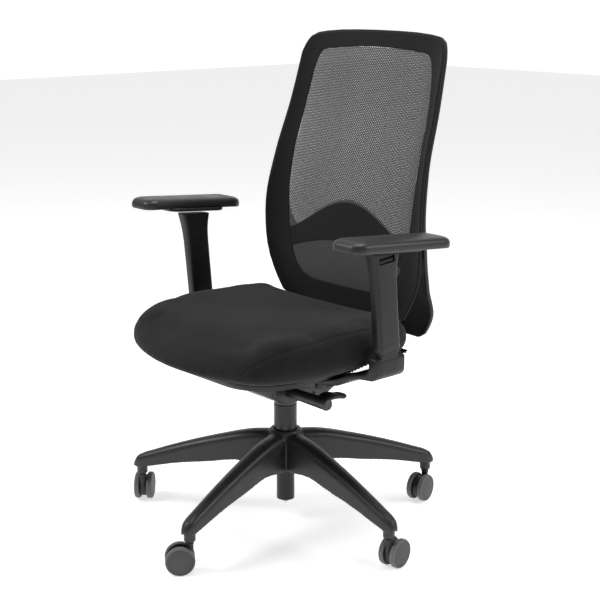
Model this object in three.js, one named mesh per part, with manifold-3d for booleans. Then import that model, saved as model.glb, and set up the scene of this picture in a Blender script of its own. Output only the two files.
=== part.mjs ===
// Swivel office chair with a mesh back, a five-arm base on twin-wheel casters, a gas lift,
// a synchronised tilt mechanism and height-adjustable arm rests.
// Millimetres, +Z up. The origin is on the floor under the gas lift's axis. The sitter faces -Y,
// so +X is the sitter's left. The chair is modelled upright, with the lift at its lowest.

import * as THREE from 'three';
import { mergeVertices } from 'three/addons/utils/BufferGeometryUtils.js';
import Module from 'manifold-3d';

const wasm = await Module();
wasm.setup();

// ---------- driving dimensions ----------

const GAP = 0.3; // clearance between fixed neighbours
const DEG = Math.PI / 180;

const ARM_COUNT = 5; // arms of the star base
const BASE_RADIUS = 335; // from the column axis to a caster stem
const FIRST_ARM_ANGLE = -3.74; // degrees from +X
const CASTER_HEADINGS = [98, 283, 160, 133, 235]; // degrees, the way each caster trails

const WHEEL_RADIUS = 30;
const WHEEL_INNER = 8; // from the caster's middle plane to a wheel's inner face
const WHEEL_OUTER = 20; // and to its outer face
const CASTER_TRAIL = 20;
const AXLE_RADIUS = 3.5;
const STEM_RADIUS = 5.5;

const SOCKET_BOTTOM = 67;
const HUB_BOTTOM = 118;
const HUB_TOP = 206;

const TUBE_RADIUS = 25;
const TUBE_BOTTOM = 45;
const TUBE_TOP = 262;
const SPINDLE_RADIUS = 14;

const TRAY_BOTTOM = 281;
const TRAY_TOP = 326;
const TRAY_FRONT = -86;
const TRAY_REAR = 92;
const TRAY_HALF_WIDTH = 58;
const TRAY_WALL = 4;
const TRAY_FLOOR = 5;
const PIN_RADIUS = 6; // the tilt and recline pins
const LEVER_SHAFT_RADIUS = 4;

const TILT_AXIS = { y: -72, z: 312 }; // the seat plate's hinge at the front of the tray
const RECLINE_AXIS = { y: 46, z: 304 }; // the back's hinge
const LEVER_AXIS = { y: -35, z: 305.5 };

const SEAT_FRONT = -300;
const SEAT_REAR = 166;
const SEAT_HALF_WIDTH = 262;
const CUSHION_BOTTOM = 379;

const POST_X = 294; // arm rest posts
const POST_Y = 4;
const POST_Z = 448;
const POST_LEAN = 5.1; // degrees forward
const PAD_LENGTH = 266;
const PAD_WIDTH = 88;
const PAD_THICKNESS = 24;

const BACK_BOTTOM = 440;
const BACK_TOP = 1039; // the middle of the top edge
const BACK_TOP_DROP = 9; // how far the top edge falls towards its corners
const BACK_CORNER_DROP = 20; // and how far it falls again round each corner

// ---------- colours ----------

const paint = (color, roughness, metalness = 0) =>
  new THREE.MeshStandardMaterial({ color, roughness, metalness });

const FINISH = {
  nylon: paint(0x1c1c1e, 0.5),
  blackSteel: paint(0x151516, 0.35, 0.6),
  steel: paint(0xb4b6b8, 0.3, 0.9),
  caster: paint(0x2a2826, 0.5),
  wheel: paint(0x4c4b4a, 0.6),
  greyCap: paint(0x77787a, 0.45),
  fabric: paint(0x1a1a1c, 0.95),
  mesh: paint(0x26272a, 0.9),
  pad: paint(0x232325, 0.6),
};

// ---------- building helpers ----------

const group = new THREE.Group();

function addMesh(name, geometry, material, parent = group) {
  const mesh = new THREE.Mesh(geometry, material);
  mesh.name = name;
  parent.add(mesh);
  return mesh;
}

// A closed geometry as a manifold solid.
function toSolid(geometry) {
  const plain = geometry.clone();
  plain.deleteAttribute('normal');
  plain.deleteAttribute('uv');
  const merged = mergeVertices(plain, 1e-3);
  return new wasm.Manifold(
    new wasm.Mesh({
      numProp: 3,
      vertProperties: new Float32Array(merged.attributes.position.array),
      triVerts: new Uint32Array(merged.index.array),
    }),
  );
}

function toGeometry(solid) {
  const mesh = solid.getMesh();
  const geometry = new THREE.BufferGeometry();
  geometry.setAttribute('position', new THREE.BufferAttribute(mesh.vertProperties, 3));
  geometry.setIndex(new THREE.BufferAttribute(mesh.triVerts, 1));
  geometry.computeVertexNormals();
  return geometry;
}

const join = (...geometries) => toGeometry(geometries.map(toSolid).reduce((a, b) => a.add(b)));

const cut = (geometry, ...tools) =>
  toGeometry(tools.map(toSolid).reduce((a, b) => a.subtract(b), toSolid(geometry)));

// A turned piece about Z, from [radius, height] pairs that start and end on the axis.
function turned(profile, segments) {
  const points = profile.map(([radius, height]) => new THREE.Vector2(radius, height));
  return new THREE.LatheGeometry(points, segments).rotateX(90 * DEG);
}

// A turned ring: the profile is a closed loop that never meets the axis.
const turnedRing = (profile, segments) => turned([...profile, profile[0]], segments);

// A round bar along Z between two heights.
const barZ = (radius, low, high, segments) =>
  turned([[0, low], [radius, low], [radius, high], [0, high]], segments);

// A round bar along X between two places.
const barX = (radius, low, high, segments) => barZ(radius, low, high, segments).rotateY(90 * DEG);

function box(lowX, highX, lowY, highY, lowZ, highZ) {
  const geometry = new THREE.BoxGeometry(highX - lowX, highY - lowY, highZ - lowZ);
  return geometry.translate((lowX + highX) / 2, (lowY + highY) / 2, (lowZ + highZ) / 2);
}

const shapeOf = (points) => new THREE.Shape(points.map(([x, y]) => new THREE.Vector2(x, y)));

// A shape in the (Y, Z) plane, extruded along X between two places.
function sideProfile(shape, lowX, highX, bevel = 0) {
  const geometry = new THREE.ExtrudeGeometry(shape, {
    depth: highX - lowX - 2 * bevel,
    bevelEnabled: bevel > 0,
    bevelSize: bevel,
    bevelThickness: bevel,
    bevelOffset: -bevel,
    bevelSegments: 2,
    curveSegments: 8,
  });
  return geometry.translate(0, 0, lowX + bevel).rotateY(90 * DEG).rotateX(90 * DEG);
}

// A shape in the (X, Z) plane, extruded along Y between two places.
function frontProfile(shape, lowY, highY) {
  const geometry = new THREE.ExtrudeGeometry(shape, {
    depth: highY - lowY,
    bevelEnabled: false,
    curveSegments: 6,
  });
  return geometry.rotateX(90 * DEG).translate(0, highY, 0);
}

// A rounded rectangle in its own plane.
function roundedRectangle(width, height, radius) {
  const shape = new THREE.Shape();
  const x = width / 2 - radius;
  const y = height / 2 - radius;
  shape.absarc(x, y, radius, 0, 90 * DEG);
  shape.absarc(-x, y, radius, 90 * DEG, 180 * DEG);
  shape.absarc(-x, -y, radius, 180 * DEG, 270 * DEG);
  shape.absarc(x, -y, radius, 270 * DEG, 360 * DEG);
  return shape;
}

// Moves every vertex of a geometry to where a function of its own place says.
function moveVertices(geometry, map) {
  const position = geometry.attributes.position;
  const point = new THREE.Vector3();
  for (let i = 0; i < position.count; i++) {
    point.fromBufferAttribute(position, i);
    map(point);
    position.setXYZ(i, point.x, point.y, point.z);
  }
  return geometry;
}

// A closed panel: a subdivided block whose (u, v, w) in -1..1 is sent to a place by the map.
function mappedBlock(segmentsU, segmentsV, segmentsW, map) {
  const block = new THREE.BoxGeometry(2, 2, 2, segmentsU, segmentsV, segmentsW);
  return moveVertices(block, (point) => point.copy(map(point.x, point.y, point.z)));
}

// A smooth function through [place, value] pairs in rising order.
function smoothCurve(pairs) {
  const curve = new THREE.CubicInterpolant(
    pairs.map(([place]) => place),
    pairs.map(([, value]) => value),
    1,
    new Float32Array(1),
  );
  return (place) => curve.evaluate(place)[0];
}

const armAngle = (index) => (FIRST_ARM_ANGLE + (index * 360) / ARM_COUNT) * DEG;

// ---------- star base ----------

// One arm's side view: distance from the column along the first axis, height along the second.
const ARM_SIDE = [
  [10, HUB_BOTTOM + 2], [42, HUB_BOTTOM + 2], [100, 128], [170, 117], [250, 104], [318, 88],
  [322, 76], [349, 76], [353, 88], [348, 101], [334, 111], [308, 120], [240, 145],
  [150, 173], [75, 193], [30, HUB_TOP - 8], [10, HUB_TOP - 8],
];
const ARM_ROOT_HALF_WIDTH = 26;
const ARM_TIP_HALF_WIDTH = 14.5;
const ARM_WALL = 5;

// Narrows an arm that lies along X from its root to its tip, and towards its upper edge.
function taperArm(point) {
  const along = THREE.MathUtils.clamp(point.x / BASE_RADIUS, 0, 1);
  point.y *= THREE.MathUtils.lerp(1, ARM_TIP_HALF_WIDTH / ARM_ROOT_HALF_WIDTH, along);
}

function starArm() {
  const shape = shapeOf(ARM_SIDE);
  const arm = sideProfile(shape, -ARM_ROOT_HALF_WIDTH, ARM_ROOT_HALF_WIDTH, 7);
  arm.rotateZ(-90 * DEG);
  return moveVertices(arm, taperArm);
}

// The space under an arm, which leaves a channel with walls and a roof.
function armChannel() {
  const shape = shapeOf([[62, 60], [312, 60], [312, 96], [240, 126], [150, 154], [62, 176]]);
  const half = ARM_ROOT_HALF_WIDTH - ARM_WALL;
  const channel = sideProfile(shape, -half, half).rotateZ(-90 * DEG);
  return moveVertices(channel, taperArm);
}

const HUB_PROFILE = [
  [19.5 + GAP, HUB_BOTTOM], [38, HUB_BOTTOM], [39, 150], [35, HUB_TOP - 4], [33, HUB_TOP],
  [TUBE_RADIUS + GAP, HUB_TOP], [TUBE_RADIUS + GAP, 192],
];

function starBase() {
  const boreTool = turned(
    [[0, 100], [19.5 + GAP, 100], [19.5 + GAP, HUB_BOTTOM], [TUBE_RADIUS + GAP, 192],
      [TUBE_RADIUS + GAP, 220], [0, 220]],
    32,
  );
  const socket = turned([[0, SOCKET_BOTTOM], [11.5, SOCKET_BOTTOM], [12, 90], [12, 100], [0, 100]], 20);
  const socketHole = barZ(STEM_RADIUS + GAP, 40, 98, 12);
  const arms = [];
  const channels = [];
  const sockets = [];
  const holes = [];
  for (let i = 0; i < ARM_COUNT; i++) {
    arms.push(starArm().rotateZ(armAngle(i)));
    channels.push(armChannel().rotateZ(armAngle(i)));
    sockets.push(socket.clone().translate(BASE_RADIUS, 0, 0).rotateZ(armAngle(i)));
    holes.push(socketHole.clone().translate(BASE_RADIUS, 0, 0).rotateZ(armAngle(i)));
  }
  const channelled = cut(join(turnedRing(HUB_PROFILE, 32), ...arms), ...channels);
  return cut(join(channelled, turnedRing(HUB_PROFILE, 32), ...sockets), boreTool, ...holes);
}

addMesh('star_base', starBase(), FINISH.nylon);

// ---------- casters ----------

const NECK_TOP = 66;
const HOOD_HALF_THICKNESS = WHEEL_INNER - 0.6;

// One wheel about Z, with its inner face at WHEEL_INNER and a blind bore for the axle.
function casterWheel() {
  const bore = AXLE_RADIUS + 0.12;
  return turned(
    [
      [0, 17], [bore, 17], [bore, WHEEL_INNER], [WHEEL_RADIUS - 2, WHEEL_INNER],
      [WHEEL_RADIUS, WHEEL_INNER + 1.5], [WHEEL_RADIUS, WHEEL_OUTER - 3],
      [WHEEL_RADIUS - 3, WHEEL_OUTER - 0.6], [0, WHEEL_OUTER],
    ],
    20,
  );
}

// The hood between the wheels, with the neck that turns on the stem.
// It lies along +X from the stem's axis to the axle's.
function casterHood() {
  const hood = barZ(24, -HOOD_HALF_THICKNESS, HOOD_HALF_THICKNESS, 24).rotateX(90 * DEG);
  hood.translate(CASTER_TRAIL, 0, WHEEL_RADIUS);
  const neck = barZ(7.3, 36, NECK_TOP, 16);
  const stemBore = barZ(STEM_RADIUS + 0.15, 42, NECK_TOP + 1, 12);
  const axleBore = barZ(AXLE_RADIUS + GAP, -20, 20, 12).rotateX(90 * DEG);
  axleBore.translate(CASTER_TRAIL, 0, WHEEL_RADIUS);
  return cut(join(hood, neck), stemBore, axleBore);
}

function addCaster(index) {
  const number = index + 1;
  const caster = new THREE.Group();
  caster.position.set(BASE_RADIUS * Math.cos(armAngle(index)), BASE_RADIUS * Math.sin(armAngle(index)), 0);
  caster.rotation.z = CASTER_HEADINGS[index] * DEG;
  group.add(caster);

  addMesh(`caster_stem_${number}`, barZ(STEM_RADIUS, 42.5, 97, 12), FINISH.steel, caster);
  addMesh(`caster_hood_${number}`, casterHood(), FINISH.caster, caster);

  const axle = barZ(AXLE_RADIUS, -16.5, 16.5, 12).rotateX(90 * DEG);
  axle.translate(CASTER_TRAIL, 0, WHEEL_RADIUS);
  addMesh(`caster_axle_${number}`, axle, FINISH.steel, caster);

  for (const [side, letter] of [[90, 'a'], [-90, 'b']]) {
    const wheel = casterWheel().rotateX(side * DEG).translate(CASTER_TRAIL, 0, WHEEL_RADIUS);
    addMesh(`caster_wheel_${number}${letter}`, wheel, FINISH.wheel, caster);
  }
}

for (let i = 0; i < ARM_COUNT; i++) addCaster(i);

// ---------- gas lift ----------

const ROD_RADIUS = 5;
const TUBE_FLOOR = 5;
const BUSH_BOTTOM = 196;
const SPINDLE_BOTTOM = 66;
const SPINDLE_TOP = 318;

// The outer tube: straight above the hub, tapered in it, open at the top.
const gasCylinder = turnedRing(
  [
    [ROD_RADIUS + GAP, TUBE_BOTTOM], [19.5, TUBE_BOTTOM], [19.5, HUB_BOTTOM], [TUBE_RADIUS, 192],
    [TUBE_RADIUS, TUBE_TOP], [22, TUBE_TOP], [22, 192], [17.5, HUB_BOTTOM],
    [17.5, TUBE_BOTTOM + TUBE_FLOOR], [ROD_RADIUS + GAP, TUBE_BOTTOM + TUBE_FLOOR],
  ],
  32,
);

const guideBush = turnedRing(
  [
    [SPINDLE_RADIUS + 0.2, BUSH_BOTTOM], [22 - GAP, BUSH_BOTTOM], [22 - GAP, TUBE_TOP + GAP],
    [24, TUBE_TOP + GAP], [23, 267.5], [SPINDLE_RADIUS + 0.2, 267.5],
  ],
  32,
);

const thrustBearing = turnedRing(
  [[ROD_RADIUS + GAP, 50.3], [12, 50.3], [12, 56], [ROD_RADIUS + GAP, 56]],
  24,
);

// The rod turns on the thrust bearing, and its piston runs inside the spindle.
const pistonRod = turned(
  [
    [0, 36], [4, 36], [ROD_RADIUS, 37], [ROD_RADIUS, 56.3], [9, 56.3], [9, 60], [ROD_RADIUS, 60],
    [ROD_RADIUS, 225], [10.3, 225], [10.3, 238], [0, 238],
  ],
  16,
);

const rodClip = turnedRing(
  [[ROD_RADIUS + 0.1, 42], [10, 42], [10, 44.6], [ROD_RADIUS + 0.1, 44.6]],
  16,
);

// The spindle is the gas chamber: a hollow bar with a hole for the rod at its foot,
// a taper for the tilt mechanism at its head, and a small hole for the valve pin.
const gasSpindle = turnedRing(
  [
    [ROD_RADIUS + GAP, SPINDLE_BOTTOM], [SPINDLE_RADIUS, SPINDLE_BOTTOM], [SPINDLE_RADIUS, 272],
    [13, SPINDLE_TOP], [3.3, SPINDLE_TOP], [3.3, 300], [3.3, 290], [11, 282], [11, 76],
    [ROD_RADIUS + GAP, 70],
  ],
  32,
);

addMesh('gas_cylinder', gasCylinder, FINISH.blackSteel);
addMesh('guide_bush', guideBush, FINISH.nylon);
addMesh('thrust_bearing', thrustBearing, FINISH.steel);
addMesh('piston_rod', pistonRod, FINISH.steel);
addMesh('rod_clip', rodClip, FINISH.steel);
addMesh('gas_spindle', gasSpindle, FINISH.blackSteel);
addMesh('valve_pin', turned([[0, 301], [3, 301], [3, 320.5], [0, 321.5]], 12), FINISH.steel);

// ---------- tilt mechanism ----------

const SIDE_INNER = TRAY_HALF_WIDTH - TRAY_WALL;
const BOSS_RADIUS = 21; // the boss that holds the spindle's taper
const BOSS_BOTTOM = 271;
const BOSS_TOP = 312;
const LOCK_SHAFT_RADIUS = 6.7;

// An open tray. Its side walls fall towards the rear, which leaves room for the seat plate to tilt.
function mechanismHousing() {
  const outer = sideProfile(
    shapeOf([
      [TRAY_FRONT, TRAY_BOTTOM + 22], [TRAY_FRONT + 36, TRAY_BOTTOM], [TRAY_REAR - 24, TRAY_BOTTOM],
      [TRAY_REAR, TRAY_BOTTOM + 12], [TRAY_REAR, TRAY_TOP - 22], [RECLINE_AXIS.y + 6, TRAY_TOP - 10],
      [TILT_AXIS.y + 10, TRAY_TOP], [TRAY_FRONT, TRAY_TOP],
    ]),
    -TRAY_HALF_WIDTH,
    TRAY_HALF_WIDTH,
    3,
  );
  const inside = sideProfile(
    shapeOf([
      [TRAY_FRONT + TRAY_WALL, TRAY_BOTTOM + 25], [TRAY_FRONT + 39, TRAY_BOTTOM + TRAY_FLOOR],
      [TRAY_REAR + 30, TRAY_BOTTOM + TRAY_FLOOR], [TRAY_REAR + 30, TRAY_TOP + 20],
      [TRAY_FRONT + TRAY_WALL, TRAY_TOP + 20],
    ]),
    -SIDE_INNER,
    SIDE_INNER,
  );
  const boss = barZ(BOSS_RADIUS, BOSS_BOTTOM, BOSS_TOP, 24);
  const bore = SPINDLE_RADIUS + GAP;
  const bossBore = turned([[0, 260], [bore, 260], [bore, 272], [13.4, BOSS_TOP + 2], [0, BOSS_TOP + 2]], 32);
  const pinHoles = [TILT_AXIS, RECLINE_AXIS].map(({ y, z }) =>
    barX(PIN_RADIUS + GAP, -90, 90, 16).translate(0, y, z));
  const leverHole = barX(LOCK_SHAFT_RADIUS + 2 * GAP, -90, 90, 16).translate(0, LEVER_AXIS.y, LEVER_AXIS.z);
  return cut(join(cut(outer, inside), boss), bossBore, ...pinHoles, leverHole);
}

addMesh('mechanism_housing', mechanismHousing(), FINISH.nylon);

function addPin(name, halfLength, axis) {
  const pin = barX(PIN_RADIUS, -halfLength, halfLength, 16).translate(0, axis.y, axis.z);
  addMesh(name, pin, FINISH.steel);
}

addPin('tilt_pin', TRAY_HALF_WIDTH + 7, TILT_AXIS);
addPin('recline_pin', TRAY_HALF_WIDTH - 0.5, RECLINE_AXIS);

// The tension spring: a coil that lies along Y beside the spindle's boss.
class CoilCurve extends THREE.Curve {
  constructor(radius, length, turns) {
    super();
    this.radius = radius;
    this.length = length;
    this.turns = turns;
  }

  getPoint(t, target = new THREE.Vector3()) {
    const angle = t * this.turns * 2 * Math.PI;
    return target.set(this.radius * Math.cos(angle), t * this.length, this.radius * Math.sin(angle));
  }
}

function tensionSpring() {
  const wire = new THREE.Shape().absarc(0, 0, 2.2, 0, 2 * Math.PI);
  const coil = new THREE.ExtrudeGeometry(wire, {
    steps: 60,
    curveSegments: 3,
    extrudePath: new CoilCurve(11, 74, 6),
    bevelEnabled: false,
  });
  return coil.translate(-36.5, -44, 302);
}

addMesh('tension_spring', tensionSpring(), FINISH.steel);

// ---------- levers ----------

// A paddle lever on a conical tube, which turns about X to open the gas valve.
function heightLever() {
  const tube = turned([[0, 112], [12, 112], [12.6, 160], [0, 160]], 20).rotateY(90 * DEG);
  const shaft = barX(LEVER_SHAFT_RADIUS, 40, 118, 12);
  const paddle = frontProfile(
    shapeOf([[128, -3], [160, -4], [160, 6], [128, 4]]),
    4,
    66,
  );
  return join(tube, shaft, paddle).translate(0, LEVER_AXIS.y, LEVER_AXIS.z);
}

// The grip ring next to the housing, which sets the recline tension. The lever's shaft runs through it.
const gripBore = LEVER_SHAFT_RADIUS + 0.4;
const gripStart = TRAY_HALF_WIDTH - 6;
const gripShoulder = TRAY_HALF_WIDTH + 3;
const tensionGrip = turnedRing(
  [
    [gripBore, gripStart], [6.7, gripStart], [6.7, gripShoulder], [11.2, gripShoulder], [11.8, 111],
    [gripBore, 111],
  ],
  20,
);

addMesh('height_lever', heightLever(), FINISH.nylon);
addMesh(
  'lever_cap',
  turned([[0, 160.3], [12.8, 160.3], [13.2, 163], [12.8, 169], [10.8, 171.5], [0, 172]], 20)
    .rotateY(90 * DEG)
    .translate(0, LEVER_AXIS.y, LEVER_AXIS.z),
  FINISH.greyCap,
);
tensionGrip.rotateY(90 * DEG).translate(0, LEVER_AXIS.y, LEVER_AXIS.z);
addMesh('tension_grip', tensionGrip, FINISH.nylon);

// The tilt lock on the sitter's right: a flat paddle on a plain shaft.
function tiltLockLever() {
  const shaft = barX(LOCK_SHAFT_RADIUS, -118, 7 - TRAY_HALF_WIDTH, 16);
  const paddle = frontProfile(shapeOf([[-150, -4], [-108, -6], [-108, 6], [-150, 4]]), -12, 40);
  return join(shaft, paddle).translate(0, LEVER_AXIS.y, LEVER_AXIS.z);
}

addMesh('tilt_lock_lever', tiltLockLever(), FINISH.nylon);

// ---------- seat ----------

const PLATE_BOTTOM = 336;
const PLATE_THICKNESS = 5;
const PAN_BOTTOM = 353.4;
const PAN_SHARE = 0.76; // the pan's size as a share of the cushion's
const PAN_RIM_RISE = 14;
const SEAT_MIDDLE = (SEAT_FRONT + SEAT_REAR) / 2;
const SEAT_HALF_DEPTH = (SEAT_REAR - SEAT_FRONT) / 2;

// The top is level along the middle, falls at the front edge and rises towards the sides.
const seatTop = smoothCurve([
  [-310, 424], [-280, 438], [-240, 453], [-190, 463], [-100, 468], [80, 468], [180, 461],
]);
const SIDE_RISE = 8;
const UNDERSIDE_INSET = 34;
const TOP_INSET = 24;

// A place on the seat's plan: a square, well rounded in front and a little narrower at the rear.
function seatPlan(u, v, inset) {
  const roundness = v > 0 ? 0.12 : 0.36;
  const narrowing = v > 0 ? 1 - 0.07 * v : 1;
  return {
    x: u * Math.sqrt(1 - roundness * v * v) * (SEAT_HALF_WIDTH - inset) * narrowing,
    y: SEAT_MIDDLE + v * Math.sqrt(1 - roundness * u * u) * (SEAT_HALF_DEPTH - inset),
  };
}

function seatCushion() {
  return mappedBlock(8, 8, 4, (u, v, w) => {
    const inset = w * w * (w > 0 ? TOP_INSET : UNDERSIDE_INSET);
    const { x, y } = seatPlan(u, v, inset);
    const top = seatTop(y) + SIDE_RISE * Math.abs(u) ** 3;
    const low = CUSHION_BOTTOM + 6 * Math.max(Math.abs(u), Math.abs(v)) ** 2;
    return new THREE.Vector3(x, y, THREE.MathUtils.lerp(low, top, (w + 1) / 2));
  });
}

// The moulded pan under the cushion: its rim turns up towards the cushion's edge.
function seatPan() {
  return mappedBlock(6, 6, 1, (u, v, w) => {
    const rim = Math.max(Math.abs(u), Math.abs(v));
    const { x, y } = seatPlan(u * PAN_SHARE, v * PAN_SHARE, 20);
    const low = PAN_BOTTOM + (rim > 0.99 ? PAN_RIM_RISE : 0);
    return new THREE.Vector3(x, y, w > 0 ? CUSHION_BOTTOM - 1 : low);
  });
}

// A pressed steel plate with two ears that hang on the tilt pin.
function seatPlate() {
  const earInner = TRAY_HALF_WIDTH + 1.5;
  const earOuter = earInner + PLATE_THICKNESS;
  const plate = box(-88, 88, -120, 95, PLATE_BOTTOM, PLATE_BOTTOM + PLATE_THICKNESS);
  const ears = [-1, 1].map((side) => {
    const ear = shapeOf([[-92, 336.5], [-84, 306], [-72, 299], [-60, 306], [-52, 336.5]]);
    return side < 0 ? sideProfile(ear, -earOuter, -earInner) : sideProfile(ear, earInner, earOuter);
  });
  const pinHole = barX(PIN_RADIUS + 0.2, -90, 90, 16).translate(0, TILT_AXIS.y, TILT_AXIS.z);
  return cut(join(plate, ...ears), pinHole);
}

addMesh('seat_plate', seatPlate(), FINISH.blackSteel);
addMesh('seat_pan', seatPan(), FINISH.nylon);
addMesh('seat_cushion', seatCushion(), FINISH.fabric);

// ---------- arm rests ----------

// A leaned group stands at each post's origin, and heights in it are along the post.
const POST = { width: 20, depth: 51.6, bottom: -46, top: 118 };
const SLEEVE = { width: 26, depth: 57.6, bottom: -8, top: 190, wall: 2.6 };
const TRIGGER = { width: 38, low: 170, high: 178 };
const PAD_OUTBOARD = 27; // from the post's middle to the pad's
const PAD_SHIFT = -12; // the pad's middle, from the column axis along Y
const PAD_HEIGHT = 643; // the middle of the pad base's underside, from the floor
const PAD_PITCH = -4.8; // degrees, so a pad's front is higher than its rear
const PAD_BASE_THICKNESS = 7;

const upright = (shape, low, high, bevel = 0) =>
  new THREE.ExtrudeGeometry(shape, {
    depth: high - low - 2 * bevel,
    bevelEnabled: bevel > 0,
    bevelSize: bevel,
    bevelThickness: bevel,
    bevelOffset: -bevel,
    bevelSegments: 2,
    curveSegments: 3,
  }).translate(0, 0, low + bevel);

// The sleeve flares forward and back under the pad, and has a window for the trigger.
function armSleeve(side) {
  const section = roundedRectangle(SLEEVE.width, SLEEVE.depth, 9);
  const flareStart = 140;
  const body = upright(section, SLEEVE.bottom, flareStart);
  const flare = moveVertices(upright(section, flareStart, SLEEVE.top), (point) => {
    const rise = (point.z - flareStart) / (SLEEVE.top - flareStart);
    point.y *= 1 + 0.2 * rise;
    point.z -= rise * point.y * Math.tan((POST_LEAN - PAD_PITCH) * DEG);
  });
  const inner = roundedRectangle(SLEEVE.width - 2 * SLEEVE.wall, SLEEVE.depth - 2 * SLEEVE.wall, 6.4);
  const bore = upright(inner, SLEEVE.bottom - 5, 184);
  const halfWindow = TRIGGER.width / 2 + GAP;
  const [near, far] = side > 0 ? [8, 20] : [-20, -8];
  const window = box(near, far, -halfWindow, halfWindow, TRIGGER.low - GAP, TRIGGER.high + GAP);
  return cut(join(body, flare), bore, window);
}

function armTrigger(side) {
  const half = TRIGGER.width / 2;
  const [near, far] = side > 0 ? [9.6, 13.6] : [-13.6, -9.6];
  return box(near, far, -half, half, TRIGGER.low, TRIGGER.high);
}

// The bracket runs out from under the seat and turns up into the inner post.
function armBracket(side) {
  const outline = [
    [46, 341.4], [150, 341.4], [196, 350], [226, 366], [246, 373], [270, 377], [294, 381], [304, 391],
    [304, 424], [284, 424], [284, 402], [276, 394], [258, 388], [240, 384], [222, 378], [190, 364],
    [150, 353], [46, 353],
  ];
  const foot = frontProfile(shapeOf(outline.map(([x, z]) => [side * x, z])), -34, 46);
  const post = upright(roundedRectangle(POST.width, POST.depth, 6), POST.bottom, POST.top);
  post.rotateX(POST_LEAN * DEG).translate(side * POST_X, POST_Y, POST_Z);
  return join(foot, post);
}

function padBase() {
  return upright(roundedRectangle(70, 150, 20), 0, PAD_BASE_THICKNESS);
}

function armPad(side) {
  const low = PAD_BASE_THICKNESS + GAP;
  const pad = upright(roundedRectangle(PAD_WIDTH, PAD_LENGTH, 30), low, low + PAD_THICKNESS, 6);
  return pad.translate((side * PAD_OUTBOARD) / 2, 0, 0);
}

for (const [side, hand] of [[1, 'left'], [-1, 'right']]) {
  addMesh(`arm_bracket_${hand}`, armBracket(side), FINISH.nylon);
  const arm = new THREE.Group();
  arm.position.set(side * POST_X, POST_Y, POST_Z);
  arm.rotation.x = POST_LEAN * DEG;
  group.add(arm);
  addMesh(`arm_sleeve_${hand}`, armSleeve(side), FINISH.nylon, arm);
  addMesh(`arm_trigger_${hand}`, armTrigger(side), FINISH.nylon, arm);
  const top = new THREE.Group();
  top.position.set(side * (POST_X + PAD_OUTBOARD / 2), PAD_SHIFT, PAD_HEIGHT);
  top.rotation.x = PAD_PITCH * DEG;
  group.add(top);
  addMesh(`pad_base_${hand}`, padBase(), FINISH.nylon, top);
  addMesh(`arm_pad_${hand}`, armPad(side), FINISH.pad, top);
}

// ---------- back ----------

const COVER_THICKNESS = 2.5;
const FRAME_OFFSET = COVER_THICKNESS + 1.2; // from the cover's front to the inner frame's
const FRAME_THICKNESS = 6;

// The cover's front edge and half width at each height.
const edgeY = smoothCurve([
  [400, 166], [440, 160], [530, 153], [600, 148], [660, 149], [770, 170], [880, 207], [1000, 240],
  [1040, 250],
]);
const halfWidth = smoothCurve([
  [400, 158], [440, 182], [480, 208], [530, 232], [600, 240], [660, 240], [770, 229], [880, 220],
  [1040, 209],
]);
// How far the rear frame's back face stands behind the cover's front at each height.
const rearDepth = smoothCurve([
  [380, 40], [402, 56], [420, 69], [440, 77], [516, 54], [580, 33], [650, 22], [750, 20], [900, 19],
  [1040, 18],
]);

// The rear frame's half width: it is wider than the cover at its foot.
const rearHalfWidth = smoothCurve([
  [400, 192], [440, 205], [516, 221], [600, 239], [660, 239], [770, 228], [880, 219], [1040, 208],
]);

// How much deeper the back's middle is than its edges at each height.
const bowDepth = smoothCurve([
  [400, 10], [500, 12], [560, 22], [620, 32], [700, 34], [790, 32], [870, 28], [950, 22], [1040, 14],
]);

// A point of the back at (u, v) in -1..1, at a depth behind the cover's front.
function backPoint(u, v, bottom, width, inset, depth) {
  const across = Math.sin((u * Math.PI) / 2);
  const rise = (v + 1) / 2;
  const corner = Math.max(0, (rise - 0.9) / 0.1);
  const topEdge = BACK_TOP - inset - BACK_TOP_DROP * across ** 2 - BACK_CORNER_DROP * across ** 10;
  const z = THREE.MathUtils.lerp(bottom, topEdge, rise);
  const x = across * (width(z) - inset) * (1 - 0.06 * corner ** 3);
  const y = edgeY(z) + bowDepth(z) * (1 - (x / width(z)) ** 4) + depth;
  return new THREE.Vector3(x, y, z);
}

// A back panel as a block of fixed fineness.
const backPanel = (map) => mappedBlock(12, 14, 1, map);

const coverSheet = () =>
  backPanel((u, v, w) => backPoint(u, v, BACK_BOTTOM, halfWidth, 0, w > 0 ? 0 : COVER_THICKNESS));

// The two openings in the frame behind the cover, as outlines in the (X, Z) plane.
const UPPER_WINDOW = [
  [-158, 622], [158, 622], [170, 690], [160, 820], [146, 985], [-146, 985], [-160, 820], [-170, 690],
];
const LOWER_WINDOW = [[-96, 500], [96, 500], [140, 530], [158, 575], [-158, 575], [-140, 530]];

const windowTool = (outline) => frontProfile(shapeOf(outline), 0, 400);

function innerFrame() {
  const panel = backPanel((u, v, w) =>
    backPoint(u, v, BACK_BOTTOM + 4, halfWidth, 3, FRAME_OFFSET + (w > 0 ? 0 : FRAME_THICKNESS)));
  return cut(panel, windowTool(UPPER_WINDOW), windowTool(LOWER_WINDOW));
}

const YOKE_BOTTOM = 402;
const REAR_FRAME_THICKNESS = 12;
const REAR_OPENING = [
  [-150, 570], [150, 570], [186, 640], [176, 820], [158, 1000], [-158, 1000], [-176, 820], [-186, 640],
];

// The rear frame carries the inner frame: two rails, a top rail and a yoke at the foot.
function rearFrame() {
  const front = FRAME_OFFSET + FRAME_THICKNESS + 1.8;
  const panel = backPanel((u, v, w) => {
    const point = backPoint(u, v, YOKE_BOTTOM, rearHalfWidth, 1, 0);
    const back = rearDepth(point.z);
    point.y += w > 0 ? Math.max(front, back - REAR_FRAME_THICKNESS) : back;
    return point;
  });
  return cut(panel, windowTool(REAR_OPENING));
}

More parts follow.
